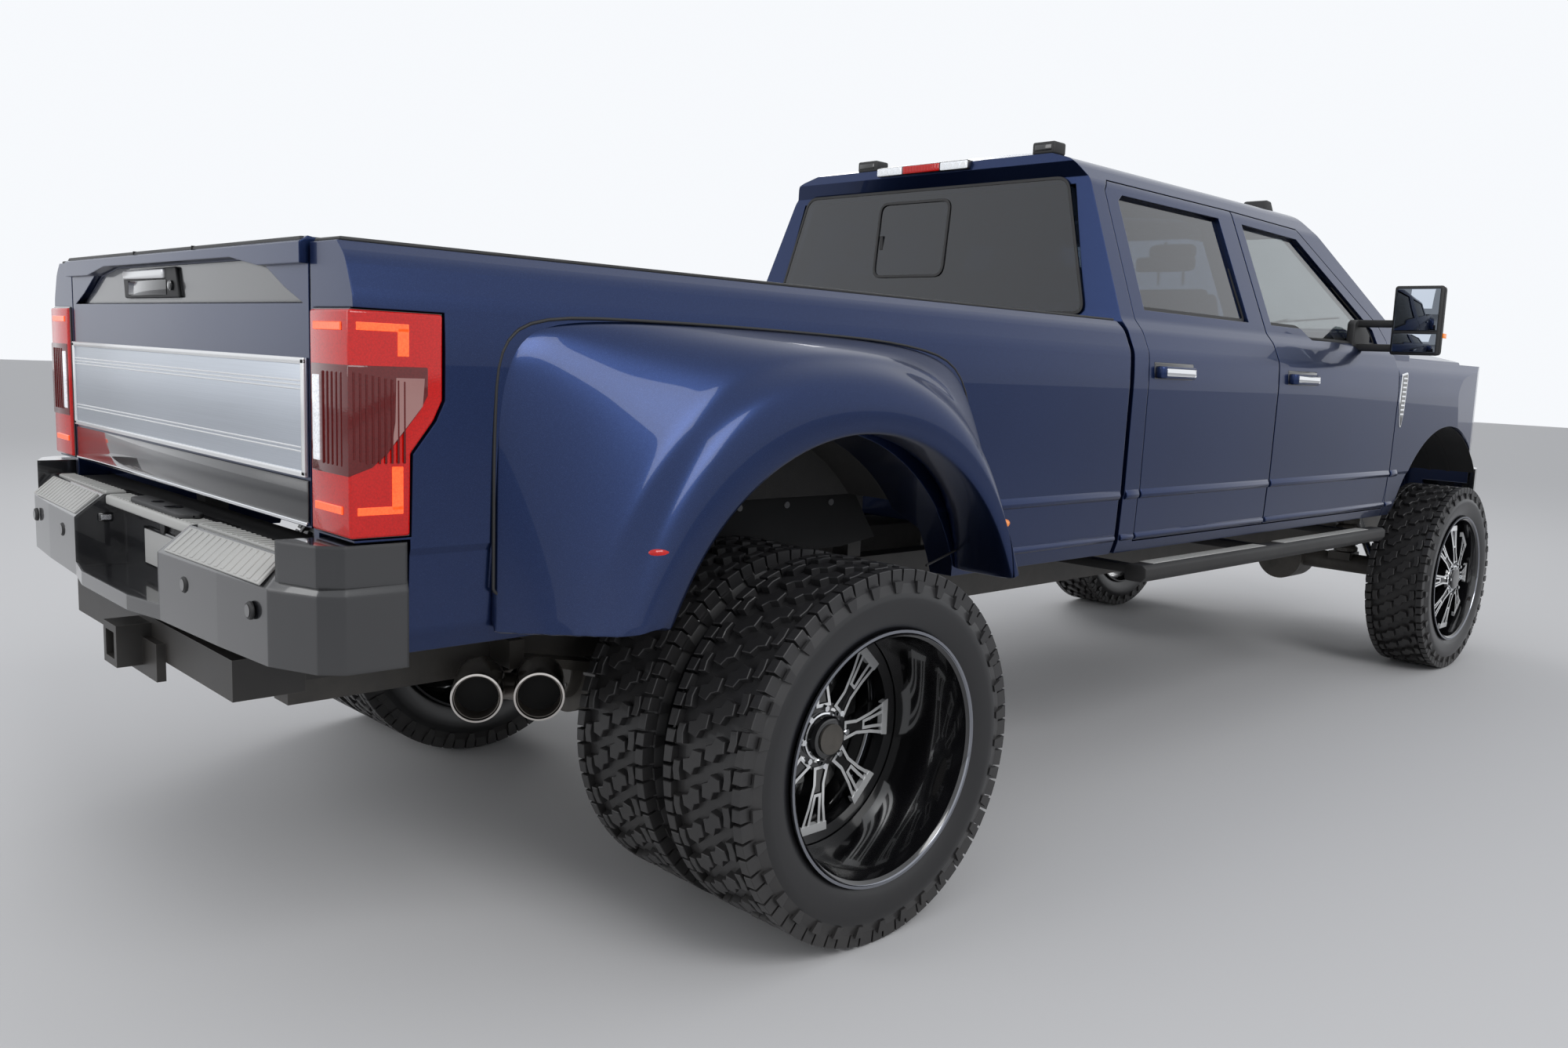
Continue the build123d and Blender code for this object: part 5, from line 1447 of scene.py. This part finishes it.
def makeHeadlamps():
    for word in sides:
        bm = bmesh.new()
        addHeadlamp(bm)
        finishSide("headlampBowl", word, bm, ["glossBlack", "chrome", "lampEye", "lampStrip", "amberLens"], 35)
        # Clear cover as a thin shell
        bm = bmesh.new()
        outer = [
            (3.122, 0.8890), (3.158, 0.8630), (3.198, 0.8010), (3.2245, 0.7010), (3.2290, 0.6400),
            (3.2290, 0.5640),
        ]
        inner = [(x - 0.0035, y - 0.0012) for x, y in reversed(outer)]
        addSlab(bm, outer + inner, "z", 1.062, 0.416)
        finishSide("headlampCover", word, bm, ["lampCover"], shared="headlamps")


def makeFrontBumperParts():
    bm = bmesh.new()
    # Blank plate, slatted intake, fog lamps and tow hooks
    addBox(bm, (3.383, -0.155, 0.900), (3.3848, 0.155, 0.990), 0.001, 1, 3)
    for i in range(5):
        z = 0.800 + i * 0.0175
        addBox(bm, (3.300, -0.328, z - 0.002), (3.345, 0.328, z + 0.002), 0.001, 1)
    for side in (1, -1):
        addSideBox(bm, side, (3.2965, 0.592, 0.832), (3.310, 0.728, 0.903), 0.003)
        addTurned(
            bm, [(0.0, 0.004), (0.022, 0.004), (0.028, 0.012), (0.031, 0.010), (0.031, 0.0), (0.0, 0.0)], 36,
            (3.310, side * 0.660, 0.868), "X", 1, False,
        )
        addTurned(
            bm, [(0.0, 0.010), (0.012, 0.009), (0.021, 0.004), (0.0, 0.004)], 36, (3.310, side * 0.660, 0.868),
            "X", 2, False,
        )
        low, high = sorted((side * 0.245, side * 0.285))
        addSlab(
            bm,
            (
                (3.280, 0.800), (3.350, 0.800), (3.368, 0.815), (3.368, 0.855), (3.350, 0.870), (3.335, 0.870),
                (3.335, 0.852), (3.346, 0.845), (3.346, 0.826), (3.335, 0.820), (3.280, 0.820),
            ),
            "y", low, high - low, 0.004, 2, 4,
        )
    # Rubber step strip on the top edge
    addBox(bm, (3.300, -0.36, 0.9985), (3.378, 0.36, 1.0), 0.0005, 1)
    finishPiece("frontBumperFittings", bm, ["rawBlack", "chrome", "lampEye", "plateBlank", "castMetal"], 32)


def makeCowlParts():
    # Cowl grille and two parked wipers
    bm = bmesh.new()
    for i in range(22):
        y = -0.66 + i * 0.0615
        addBox(bm, (1.835, y, 1.660), (1.885, y + 0.040, 1.6635), 0.001, 1)
    for startY, endY in ((0.60, -0.02), (-0.08, -0.68)):
        pivot = Vector((1.818, startY, 1.679))
        tip = Vector((1.735, startY * 0.45 + endY * 0.55, 1.736))
        end = Vector((1.722, endY, 1.748))
        addRod(bm, pivot, tip, 0.007, 8)
        addRod(bm, Vector((1.775, startY - 0.03, 1.7105)), end, 0.005, 8, 1)
        addTurned(
            bm, [(0.0, 0.010), (0.014, 0.008), (0.017, -0.006), (0.0, -0.006)], 24, tuple(pivot), "Z", 0, False,
        )
    finishPiece("wipers", bm, ["rawBlack", "rubber"], 32)


def makeFenderVents():
    # Bright upright vent behind each front wheel
    for word in sides:
        bm = bmesh.new()
        corners = [
            (1.706, 1.350), (1.712, 1.488), (1.776, 1.498), (1.783, 1.466), (1.768, 1.300), (1.750, 1.238),
            (1.733, 1.238), (1.722, 1.300),
        ]
        outline = rounded([(x, 1.0105, z) for x, z in corners], 0.01)
        addPrism(bm, outline, (0, 0.0080, 0), 0.0016)
        dark = inset([p + Vector((0, 0.0084, 0)) for p in outline], 0.009)
        addPrism(bm, dark, (0, 0.0008, 0), 0.0, 1, 1)
        for i in range(9):
            z = 1.296 + i * 0.021
            addBox(bm, (1.722 + i * 0.0006, 1.0185, z), (1.762 + i * 0.0008, 1.0206, z + 0.008), 0.001, 1)
        finishSide("fenderVent", word, bm, ["chrome", "glossBlack"])


print("front end")
makeGrilleParts()
makeHeadlamps()
makeFrontBumperParts()
makeCowlParts()
makeFenderVents()


# Chassis details
def makeShock(bm, top, bottom):
    top, bottom = Vector(top), Vector(bottom)
    middle = top.lerp(bottom, 0.5)
    addRod(bm, top, middle, 0.030, 20)
    addRod(bm, middle, bottom, 0.022, 20, 1)
    for point in (top, bottom):
        addRod(bm, point - Vector((0, 0.030, 0)), point + Vector((0, 0.030, 0)), 0.018, 16, 2)


def makeSuspension():
    bm = bmesh.new()
    for side in (1, -1):
        makeShock(bm, (rearAxleX - 0.20, side * 0.500, 0.770), (rearAxleX - 0.105, side * 0.530, 0.520))
        makeShock(bm, (2.530, side * 0.500, 0.770), (2.490, side * 0.660, 0.490))
        # Clamps and bands on the leaf packs
        low, high = sorted((side * 0.4995, side * 0.5705))
        for x in (-0.085, 0.055):
            start = rearAxleX + x
            addBox(bm, (start, low - 0.004, 0.500), (start + 0.018, high + 0.004, 0.612), 0.003, 2, 2)
        for x in (-0.34, 0.32):
            start = rearAxleX + x
            addBox(bm, (start, low - 0.003, 0.560), (start + 0.025, high + 0.003, 0.612), 0.003, 2, 2)
    finishPiece("suspension", bm, ["shockPaint", "chrome", "castMetal"], 35)


def makeAxleCovers():
    # Bolted covers on both differentials
    bm = bmesh.new()
    for x, y, way in ((-2.1865, 0.0, -1), (2.5265, -0.20, 1)):
        addTurned(
            bm, [(0.0, 0.0), (0.118, 0.0), (0.118, way * 0.004), (0.100, way * 0.006), (0.0, way * 0.012)], 48,
            (x - way * 0.003, y, 0.468), "X", 0, False,
        )
        for i in range(12):
            a = i * pi / 6
            addTurned(
                bm, [(0.0, 0.0), (0.006, 0.0), (0.006, way * 0.006), (0.0, way * 0.006)], 6,
                (x, y + 0.108 * cos(a), 0.468 + 0.108 * sin(a)), "X", 1, False,
            )
    finishPiece("axleCovers", bm, ["chassisBlack", "castMetal"], 35)


def makeEngineParts():
    # Ribbed cover and two rocker covers under the hood
    bm = bmesh.new()
    addBox(bm, (2.02, -0.30, 1.378), (2.72, 0.30, 1.432), 0.030, 4)
    for i in range(9):
        x = 2.08 + i * 0.070
        addBox(bm, (x, -0.255, 1.430), (x + 0.030, 0.255, 1.438), 0.003, 2, 1)
    for side in (1, -1):
        addBox(bm, (2.06, side * 0.36 - 0.045, 1.378), (2.66, side * 0.36 + 0.045, 1.402), 0.010, 3, 2)
    finishPiece("engineCover", bm, ["rawBlack", "glossBlack", "engineMetal"], 35)


print("chassis details")
makeSuspension()
makeAxleCovers()
makeEngineParts()


# Seats: padded pieces swollen by Cloth over plain starting shapes
seatLook = {
    "voxel": 0.011, "rearVoxel": 0.014, "headVoxel": 0.008,
    "fill": 0.6, "headFill": 0.8, "pressure": 4.0, "cap": 0.024,
}
otherSide = [("_right", (0, 0, 0), True)]


def remeshed(bm, name, voxel):
    mesh = bpy.data.meshes.new(name + "_start")
    bm.to_mesh(mesh)
    bm.free()
    thing = bpy.data.objects.new(name + "_start", mesh)
    scene.collection.objects.link(thing)
    remesh = thing.modifiers.new("voxels", "REMESH")
    remesh.mode = "VOXEL"
    remesh.voxel_size = voxel
    even = thing.modifiers.new("even", "SMOOTH")
    even.iterations = 3
    bpy.context.view_layer.update()
    result = bpy.data.meshes.new_from_object(thing.evaluated_get(bpy.context.evaluated_depsgraph_get()))
    bpy.data.objects.remove(thing)
    return result


def swell(mesh, name, cap):
    # Puff the shape with Cloth and keep its last frame
    thing = bpy.data.objects.new(name + "_cloth", mesh.copy())
    scene.collection.objects.link(thing)
    cloth = thing.modifiers.new("cloth", "CLOTH").settings
    cloth.quality = 5
    cloth.mass = 0.3
    cloth.tension_stiffness = cloth.compression_stiffness = 20
    cloth.bending_stiffness = 2
    cloth.use_pressure = True
    cloth.uniform_pressure_force = seatLook["pressure"]
    cloth.effector_weights.gravity = 0
    for frameNumber in range(1, 21):
        scene.frame_set(frameNumber)
    swollen = bpy.data.meshes.new_from_object(thing.evaluated_get(bpy.context.evaluated_depsgraph_get()))
    for vertex, start in zip(swollen.vertices, mesh.vertices):
        move = vertex.co - start.co
        if move.length > cap:
            vertex.co = start.co + move * (cap / move.length)
    bpy.data.objects.remove(thing)
    scene.frame_set(1)
    return swollen


def sew(mesh, channels, depth=0.009, width=0.010):
    # Press sewn channels in: each is (axis, place, low corner, high corner)
    for vertex in mesh.vertices:
        press = 0.0
        for axis, place, low, high in channels:
            p = vertex.co
            if all(low[i] <= p[i] <= high[i] for i in range(3)):
                press = max(press, 1 - abs(p[axis] - place) / width)
        if press > 0:
            vertex.co -= vertex.normal * depth * press * press * (3 - 2 * press)


def makePad(name, bm, channels, replaced=(), copies=(), voxel=seatLook["voxel"]):
    # One seat pad, and its copies as (name, move, mirrored)
    mesh = remeshed(bm, name, voxel)
    mesh = swell(mesh, name, seatLook["cap"])
    sew(mesh, channels)
    mesh.materials.clear()
    mesh.materials.append(finishes["seatLeather"])
    mesh.shade_smooth()
    for label, move, flip in [("", (0, 0, 0), False), *copies]:
        shape = mesh.copy()
        if label:
            shape.transform(Matrix.Translation(move) @ Matrix.Diagonal((1, -1 if flip else 1, 1, 1)))
            if flip:
                shape.flip_normals()
        piece = bpy.data.objects.new(name + label, shape)
        scene.collection.objects.link(piece)
        finer = piece.modifiers.new("finer", "SUBSURF")
        finer.levels = finer.render_levels = 1
        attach(piece, "chassis")
    if replaced:
        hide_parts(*replaced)


def makeFrontSeats():
    # Cushion with side bolsters
    bm = bmesh.new()
    addBox(bm, (0.622, 0.250, 1.142), (1.112, 0.610, 1.232), 0.030, 4)
    for low, high in ((0.197, 0.270), (0.590, 0.663)):
        addBox(bm, (0.632, low, 1.142), (1.095, high, 1.245), 0.028, 4)
    flat = [
        (1, 0.278, (0.60, 0.25, 1.19), (1.09, 0.31, 1.30)), (1, 0.582, (0.60, 0.55, 1.19), (1.09, 0.61, 1.30)),
    ]
    flat += [(0, x, (x - 0.02, 0.285, 1.19), (x + 0.02, 0.575, 1.30)) for x in (0.74, 0.82, 0.90, 0.98)]
    makePad("frontCushion", bm, flat, copies=otherSide)
    # Backrest, leaning backwards
    bm = bmesh.new()
    lean = [(0.632, 1.262), (0.722, 1.262), (0.598, 1.822), (0.538, 1.822)]
    addSlab(bm, lean, "y", 0.250, 0.360, 0.024, 4)
    wing = [(0.632, 1.275), (0.738, 1.275), (0.700, 1.560), (0.606, 1.790), (0.545, 1.790)]
    for low in (0.200, 0.594):
        addSlab(bm, wing, "y", low, 0.066, 0.024, 4)
    back = [
        (1, 0.278, (0.60, 0.25, 1.30), (0.80, 0.31, 1.78)), (1, 0.582, (0.60, 0.55, 1.30), (0.80, 0.61, 1.78)),
    ]
    back += [(2, z, (0.585, 0.285, z - 0.02), (0.80, 0.575, z + 0.02)) for z in (1.38, 1.46, 1.54, 1.62, 1.70)]
    makePad("frontBack", bm, back, ["front_seats"], copies=otherSide)
    bm = bmesh.new()
    addBox(bm, (0.528, 0.322, 1.872), (0.588, 0.538, 1.985), 0.022, 4)
    groove = [(2, 1.93, (0.50, 0.30, 1.91), (0.62, 0.56, 1.95))]
    makePad(
        "frontHeadrest", bm, groove, copies=otherSide, voxel=seatLook["headVoxel"],
    )


def makeRearSeat():
    bm = bmesh.new()
    addBox(bm, (-0.405, -0.690, 1.142), (0.112, 0.690, 1.235), 0.030, 4)
    lines = [(1, y, (-0.40, y - 0.02, 1.19), (0.10, y + 0.02, 1.30)) for y in (-0.235, 0.235)]
    for low, high in ((-0.64, -0.27), (0.27, 0.64)):
        lines += [(0, x, (x - 0.02, low, 1.19), (x + 0.02, high, 1.30)) for x in (-0.27, -0.18, -0.09, 0.0)]
    makePad("rearCushion", bm, lines, voxel=seatLook["rearVoxel"])
    bm = bmesh.new()
    lean = [(-0.368, 1.262), (-0.268, 1.262), (-0.402, 1.820), (-0.465, 1.820)]
    addSlab(bm, lean, "y", -0.690, 1.380, 0.024, 4)
    lines = [(1, y, (-0.44, y - 0.02, 1.28), (-0.20, y + 0.02, 1.81)) for y in (-0.235, 0.235)]
    for low, high in ((-0.64, -0.27), (0.27, 0.64)):
        lines += [
            (2, z, (-0.425, low, z - 0.02), (-0.20, high, z + 0.02)) for z in (1.36, 1.45, 1.54, 1.63, 1.72)
        ]
    makePad("rearBack", bm, lines, ["rear_seat"], voxel=seatLook["rearVoxel"])
    bm = bmesh.new()
    addBox(bm, (-0.472, -0.105, 1.872), (-0.412, 0.105, 1.985), 0.022, 4)
    groove = [(2, 1.93, (-0.50, -0.13, 1.91), (-0.38, 0.13, 1.95))]
    others = [("_left", (0, 0.46, -0.02), False), ("_right", (0, -0.46, -0.02), False)]
    makePad("rearHeadrest", bm, groove, copies=others, voxel=seatLook["headVoxel"])


def makeSeatFrames():
    bm = bmesh.new()
    for side in (1, -1):
        middle = side * 0.43
        # Seat box, rails, hinge covers and headrest rods
        addBox(bm, (0.640, middle - 0.225, 0.905), (1.085, middle + 0.225, 1.118), 0.018, 3)
        for y in (middle - 0.20, middle + 0.17):
            addBox(bm, (0.600, y, 0.848), (1.130, y + 0.030, 0.905), 0.004, 2, 1)
        for y in (middle - 0.252, middle + 0.226):
            addSlab(
                bm,
                (
                    (0.560, 1.150), (0.600, 1.115), (1.060, 1.115), (1.075, 1.150), (0.760, 1.215),
                    (0.690, 1.330), (0.600, 1.330),
                ),
                "y", y, 0.026, 0.008, 3,
            )
        for y in (middle - 0.060, middle + 0.060):
            addRod(bm, (0.560, y, 1.815), (0.556, y, 1.890), 0.006, 12, 2)
    addBox(bm, (-0.440, -0.695, 0.850), (0.100, 0.695, 1.118), 0.014, 3)
    for y in (-0.52, -0.40, -0.06, 0.06, 0.40, 0.52):
        addRod(bm, (-0.440, y, 1.805), (-0.442, y, 1.880), 0.006, 12, 2)
    finishPiece("seatFrames", bm, ["dashPlastic", "castMetal", "chrome"], 35)


print("seats")
makeFrontSeats()
makeRearSeat()
makeSeatFrames()


# Dashboard, wheel and the cab's linings
def makeDashParts():
    bm = bmesh.new()
    # Screen, instrument hood and vents on the face, which leans back
    addBox(bm, (1.376, -0.155, 1.395), (1.398, 0.155, 1.560), 0.010, 3)
    addBox(bm, (1.3735, -0.135, 1.420), (1.378, 0.135, 1.545), 0.003, 2, 1)
    for y in (-0.10, 0.0, 0.10):
        addTurned(
            bm, [(0.0, -0.014), (0.016, -0.014), (0.019, -0.010), (0.019, 0.004), (0.0, 0.004)], 28,
            (1.388, y, 1.372), "X", 2, False,
        )
    for y in (-0.775, -0.225, 0.225, 0.735):
        addBox(bm, (1.380, y - 0.055, 1.505), (1.400, y + 0.055, 1.575), 0.010, 3)
        for i in range(4):
            addBox(
                bm, (1.3775, y - 0.046, 1.516 + i * 0.014), (1.388, y + 0.046, 1.520 + i * 0.014), 0.001, 1, 2,
            )
    hood = [(1.352, 1.560), (1.372, 1.612), (1.420, 1.640), (1.520, 1.6465), (1.520, 1.600), (1.400, 1.560)]
    addSlab(bm, hood, "y", 0.270, 0.300, 0.010, 3)
    addBox(bm, (1.372, 0.300, 1.470), (1.392, 0.540, 1.575), 0.004, 2, 1)
    for y in (0.355, 0.485):
        addTurned(
            bm, [(0.036, -0.002), (0.042, -0.004), (0.044, 0.002), (0.036, 0.002)], 40, (1.371, y, 1.522), "X",
            2,
        )
    # Glove box, its latch, and a bright strip across
    addBox(bm, (1.380, -0.700, 1.320), (1.398, -0.260, 1.470), 0.010, 3)
    addBox(bm, (1.376, -0.515, 1.440), (1.384, -0.445, 1.458), 0.003, 2, 2)
    addBox(bm, (1.3775, -0.845, 1.482), (1.388, 0.270, 1.493), 0.003, 2, 2)
    # Console lid, cup rings and selector
    addBox(bm, (0.710, -0.130, 1.176), (1.020, 0.130, 1.212), 0.014, 4, 3)
    for y in (-0.060, 0.060):
        addTurned(
            bm, [(0.036, 0.0), (0.044, 0.0), (0.044, 0.008), (0.040, 0.010), (0.036, 0.008)], 36,
            (1.100, y, 1.179), "Z", 2,
        )
    addRod(bm, (1.240, 0.060, 1.176), (1.225, 0.060, 1.262), 0.008, 14, 2)
    addBox(bm, (1.200, 0.036, 1.255), (1.250, 0.084, 1.290), 0.014, 4)
    # Pedals
    for y, low in ((0.520, 0.955), (0.390, 0.975)):
        addBox(bm, (1.560, y - 0.035, low), (1.580, y + 0.035, low + 0.120), 0.006, 2, 4)
        addRod(bm, (1.580, y, low + 0.09), (1.700, y, 1.140), 0.008, 10)
    finishPiece("dashFittings", bm, ["dashPlastic", "screen", "chrome", "seatLeather", "rubber"], 32)


def makeLinings():
    bm = bmesh.new()
    # Carpet, foot mats and the roof lining
    addBox(bm, (-0.575, -0.855, 0.8465), (0.372, 0.855, 0.856), 0.003, 1)
    addBox(bm, (0.492, -0.855, 0.8465), (1.690, 0.855, 0.856), 0.003, 1)
    addBox(bm, (1.752, -0.855, 0.852), (1.763, 0.855, 1.060), 0.003, 1)
    addBox(bm, (1.795, -0.855, 1.060), (1.8145, 0.855, 1.560), 0.004)
    for side in (1, -1):
        addSideBox(bm, side, (1.130, 0.175, 0.855), (1.640, 0.800, 0.866), 0.005, 2, 1)
        addSideBox(bm, side, (-0.10, 0.175, 0.855), (0.300, 0.800, 0.866), 0.005, 2, 1)
    addBox(bm, (-0.480, -0.560, 2.098), (0.330, 0.560, 2.107), 0.003, 2, 2)
    addBox(bm, (0.480, -0.560, 2.098), (0.990, 0.560, 2.107), 0.003, 2, 2)
    # Visors, lamp and mirror
    for y in (-0.43, 0.43):
        addBox(bm, (0.985, y - 0.190, 2.060), (1.130, y + 0.190, 2.078), 0.008, 3, 2)
    addBox(bm, (0.820, -0.090, 2.082), (0.960, 0.090, 2.100), 0.006, 3, 2)
    addRod(bm, (1.220, 0.0, 2.075), (1.185, 0.0, 1.995), 0.008, 12, 3)
    addBox(bm, (1.158, -0.130, 1.930), (1.186, 0.130, 2.002), 0.014, 4, 3)
    addBox(bm, (1.1565, -0.116, 1.938), (1.160, 0.116, 1.994), 0.002, 2, 4)
    finishPiece("cabLinings", bm, ["carpet", "rubber", "headliner", "rawBlack", "mirrorGlass"], 32)


def makeDoorLining(word, which):
    x0, x1 = {"rear": (-0.490, 0.360), "front": (0.500, 1.640)}[which]
    middle = (x0 + x1) / 2
    bm = bmesh.new()
    addBox(bm, (x0, 0.917, 0.900), (x1 if which == "rear" else 1.380, 0.933, 1.500), 0.010, 3)
    if which == "front":
        addBox(bm, (1.380, 0.925, 0.900), (1.640, 0.933, 1.250), 0.004)
    # Armrest, pull, pocket and speaker
    a, b, c = {"front": (0.44, 0.40, 0.38), "rear": (0.10, 0.06, 0.05)}[which]
    rest = [
        (x0 + 0.10, 0.865), (x0 + 0.14, 0.845), (x1 - a, 0.845), (x1 - b, 0.880), (x1 - c, 0.925),
        (x0 + 0.10, 0.925),
    ]
    addSlab(bm, rest, "z", 1.290, 0.070, 0.012, 3, 1)
    addBox(bm, (x0 + 0.12, 0.886, 0.960), (x0 + 0.52, 0.921, 1.100), 0.012, 3)
    addTurned(
        bm, [(0.0, -0.006), (0.074, -0.006), (0.080, 0.0), (0.080, 0.006), (0.0, 0.006)], 40,
        ((1.24 if which == "front" else 0.22), 0.912, 1.030), "Y", 2, False,
    )
    addBox(bm, (middle - 0.02, 0.905, 1.405), (middle + 0.09, 0.920, 1.435), 0.006, 3, 3)
    finishSide(
        "doorLining_" + which, word, bm, ["dashPlastic", "seatLeather", "rubber", "chrome"], 32,
        body=bodyOf["door_" + which + "_" + word],
    )


def makeSteeringWheel():
    # Leather rim, three spokes, padded centre, column and stalks
    hub = Vector((1.200, 0.420, 1.520))
    way = Vector((-0.9, 0, 0.43)).normalized()
    turn = Matrix.Translation(hub) @ way.to_track_quat("Z", "Y").to_matrix().to_4x4()
    bm = bmesh.new()
    addTurned(
        bm, [(0.174 + 0.0150 * cos(a * pi / 6), 0.0150 * sin(a * pi / 6)) for a in range(12)], 72, (0, 0, 0),
        "Z", 0,
    )
    for angle in (0.0, pi, -pi / 2):
        corners = [(0.040, -0.026), (0.166, -0.016), (0.166, 0.016), (0.040, 0.026)]
        c, n = cos(angle), sin(angle)
        addSlab(bm, [(r * c - w * n, r * n + w * c) for r, w in corners], "z", -0.012, 0.016, 0.004, 3, 1)
    pad = rounded(
        [
            (-0.070, -0.052, -0.030), (0.070, -0.052, -0.030), (0.082, 0.030, -0.030), (0.0, 0.056, -0.030),
            (-0.082, 0.030, -0.030),
        ],
        0.03,
    )
    addPrism(bm, pad, (0, 0, 0.042), 0.012, 4)
    for sideX in (-1, 1):
        low, high = sorted((sideX * 0.088, sideX * 0.128))
        addBox(bm, (low, -0.012, 0.003), (high, 0.012, 0.007), 0.002, 2, 2)
        addRod(bm, (sideX * 0.030, 0.012, -0.080), (sideX * 0.165, 0.030, -0.070), 0.006, 12, 1)
    addTurned(
        bm, [(0.0, -0.215), (0.036, -0.215), (0.036, -0.060), (0.028, -0.025), (0.0, -0.020)], 36, (0, 0, 0),
        "Z", 1, False,
    )
    bmesh.ops.transform(bm, matrix=turn, verts=bm.verts)
    finishPiece(
        "steeringWheel", bm, ["seatLeather", "dashPlastic", "chrome"], 35, body=bodyOf["steering_wheel"],
        replaced=["steering_wheel"],
    )


# The arch's underside, as (x, z)
archLine = [
    (1.86, 0.9739), (1.92, 1.0243), (1.98, 1.0813), (2.05, 1.1327), (2.12, 1.172), (2.20, 1.2049), (2.30, 1.230),
    (2.40, 1.2396), (2.50, 1.2344), (2.60, 1.2141), (2.70, 1.1768), (2.80, 1.1195), (2.88, 1.0545), (2.94, 0.9895),
]


def makeArchLiners():
    # Dark liners under the front fenders, ribbed along the arch
    for word in sides:
        bm = bmesh.new()
        for low, high, drop in (
            (0.600, 0.990, 0.0065), (0.640, 0.660, 0.011), (0.740, 0.760, 0.011), (0.840, 0.860, 0.011),
        ):
            top = [(x, low, z - 0.0005) for x, z in archLine]
            foot = [(x, low, z - drop) for x, z in reversed(archLine)]
            addPrism(bm, top + foot, (0, high - low, 0))
        finishSide("archLiner", word, bm, ["arch"], 32)


def makeHoodPad():
    # Quilted pad under the hood
    bm = bmesh.new()
    addBox(bm, (1.99, -0.340, 1.6175), (2.84, 0.340, 1.6255), 0.003)
    for i in range(5):
        for j in range(4):
            x, y = 2.015 + i * 0.162, -0.320 + j * 0.162
            addBox(bm, (x, y, 1.6105), (x + 0.150, y + 0.150, 1.620), 0.004)
    finishPiece("hoodPad", bm, ["carpet"], 32, body=bodyOf["hood"])


def makeSplashShields():
    # Rubber sheets closing the space between rails and box floor over the rear wheels
    bm = bmesh.new()
    for side in (1, -1):
        low, high = sorted((side * 0.600, side * 0.606))
        addSlab(
            bm,
            ((-2.72, 0.880), (-2.60, 1.028), (-1.50, 1.028), (-1.40, 0.880), (-1.55, 0.860), (-2.56, 0.860)),
            "y", low, high - low, 0.002,
        )
        for i in range(6):
            x = -2.50 + i * 0.180
            addTurned(
                bm, [(0.0, -0.006), (0.010, -0.006), (0.010, 0.006), (0.0, 0.006)], 12,
                (x, side * 0.603, 1.000), "Y", 1, False,
            )
    finishPiece("splashShields", bm, ["arch", "castMetal"], 32)


print("interior")
makeDashParts()
makeLinings()
for word in sides:
    for which in ("front", "rear"):
        makeDoorLining(word, which)
makeSteeringWheel()
makeSplashShields()
makeArchLiners()
makeHoodPad()


# Finishes of the carried CAD nodes; the rest are painted
nodeFinishes = {
    "chassisBlack": ["frame", "rear_axle", "front_axle"],
    "engineMetal": ["engine"],
    "castMetal": ["driveline", "knuckle_left", "knuckle_right"],
    "tankPlastic": ["fuel_tank"],
    "coreAluminium": ["radiator"],
    "springPaint": ["springs"],
    "clearGlass": ["windshield"],
    "privacyGlass": ["rear_window", "glass_rear_left", "glass_rear_right"],
    "rawBlack": ["grille"],
    "bumperGrey": ["front_bumper", "rear_bumper"],
    "bedLiner": ["cargo_box"],
    "hitchBlack": ["hitch"],
    "exhaustSteel": ["exhaust"],
    "dashPlastic": ["dashboard"],
    "frontGlass": ["glass_front_left", "glass_front_right"],
}
finishOf = {node: label for label, members in nodeFinishes.items() for node in members}
for name, node in nodes.items():
    node.data.materials.clear()
    node.data.materials.append(finishes[finishOf.get(name, "navyPaint")])

print("camera and light")
makeCamera()
makeLight()
makeFloor()
scene.view_settings.view_transform = "Standard"
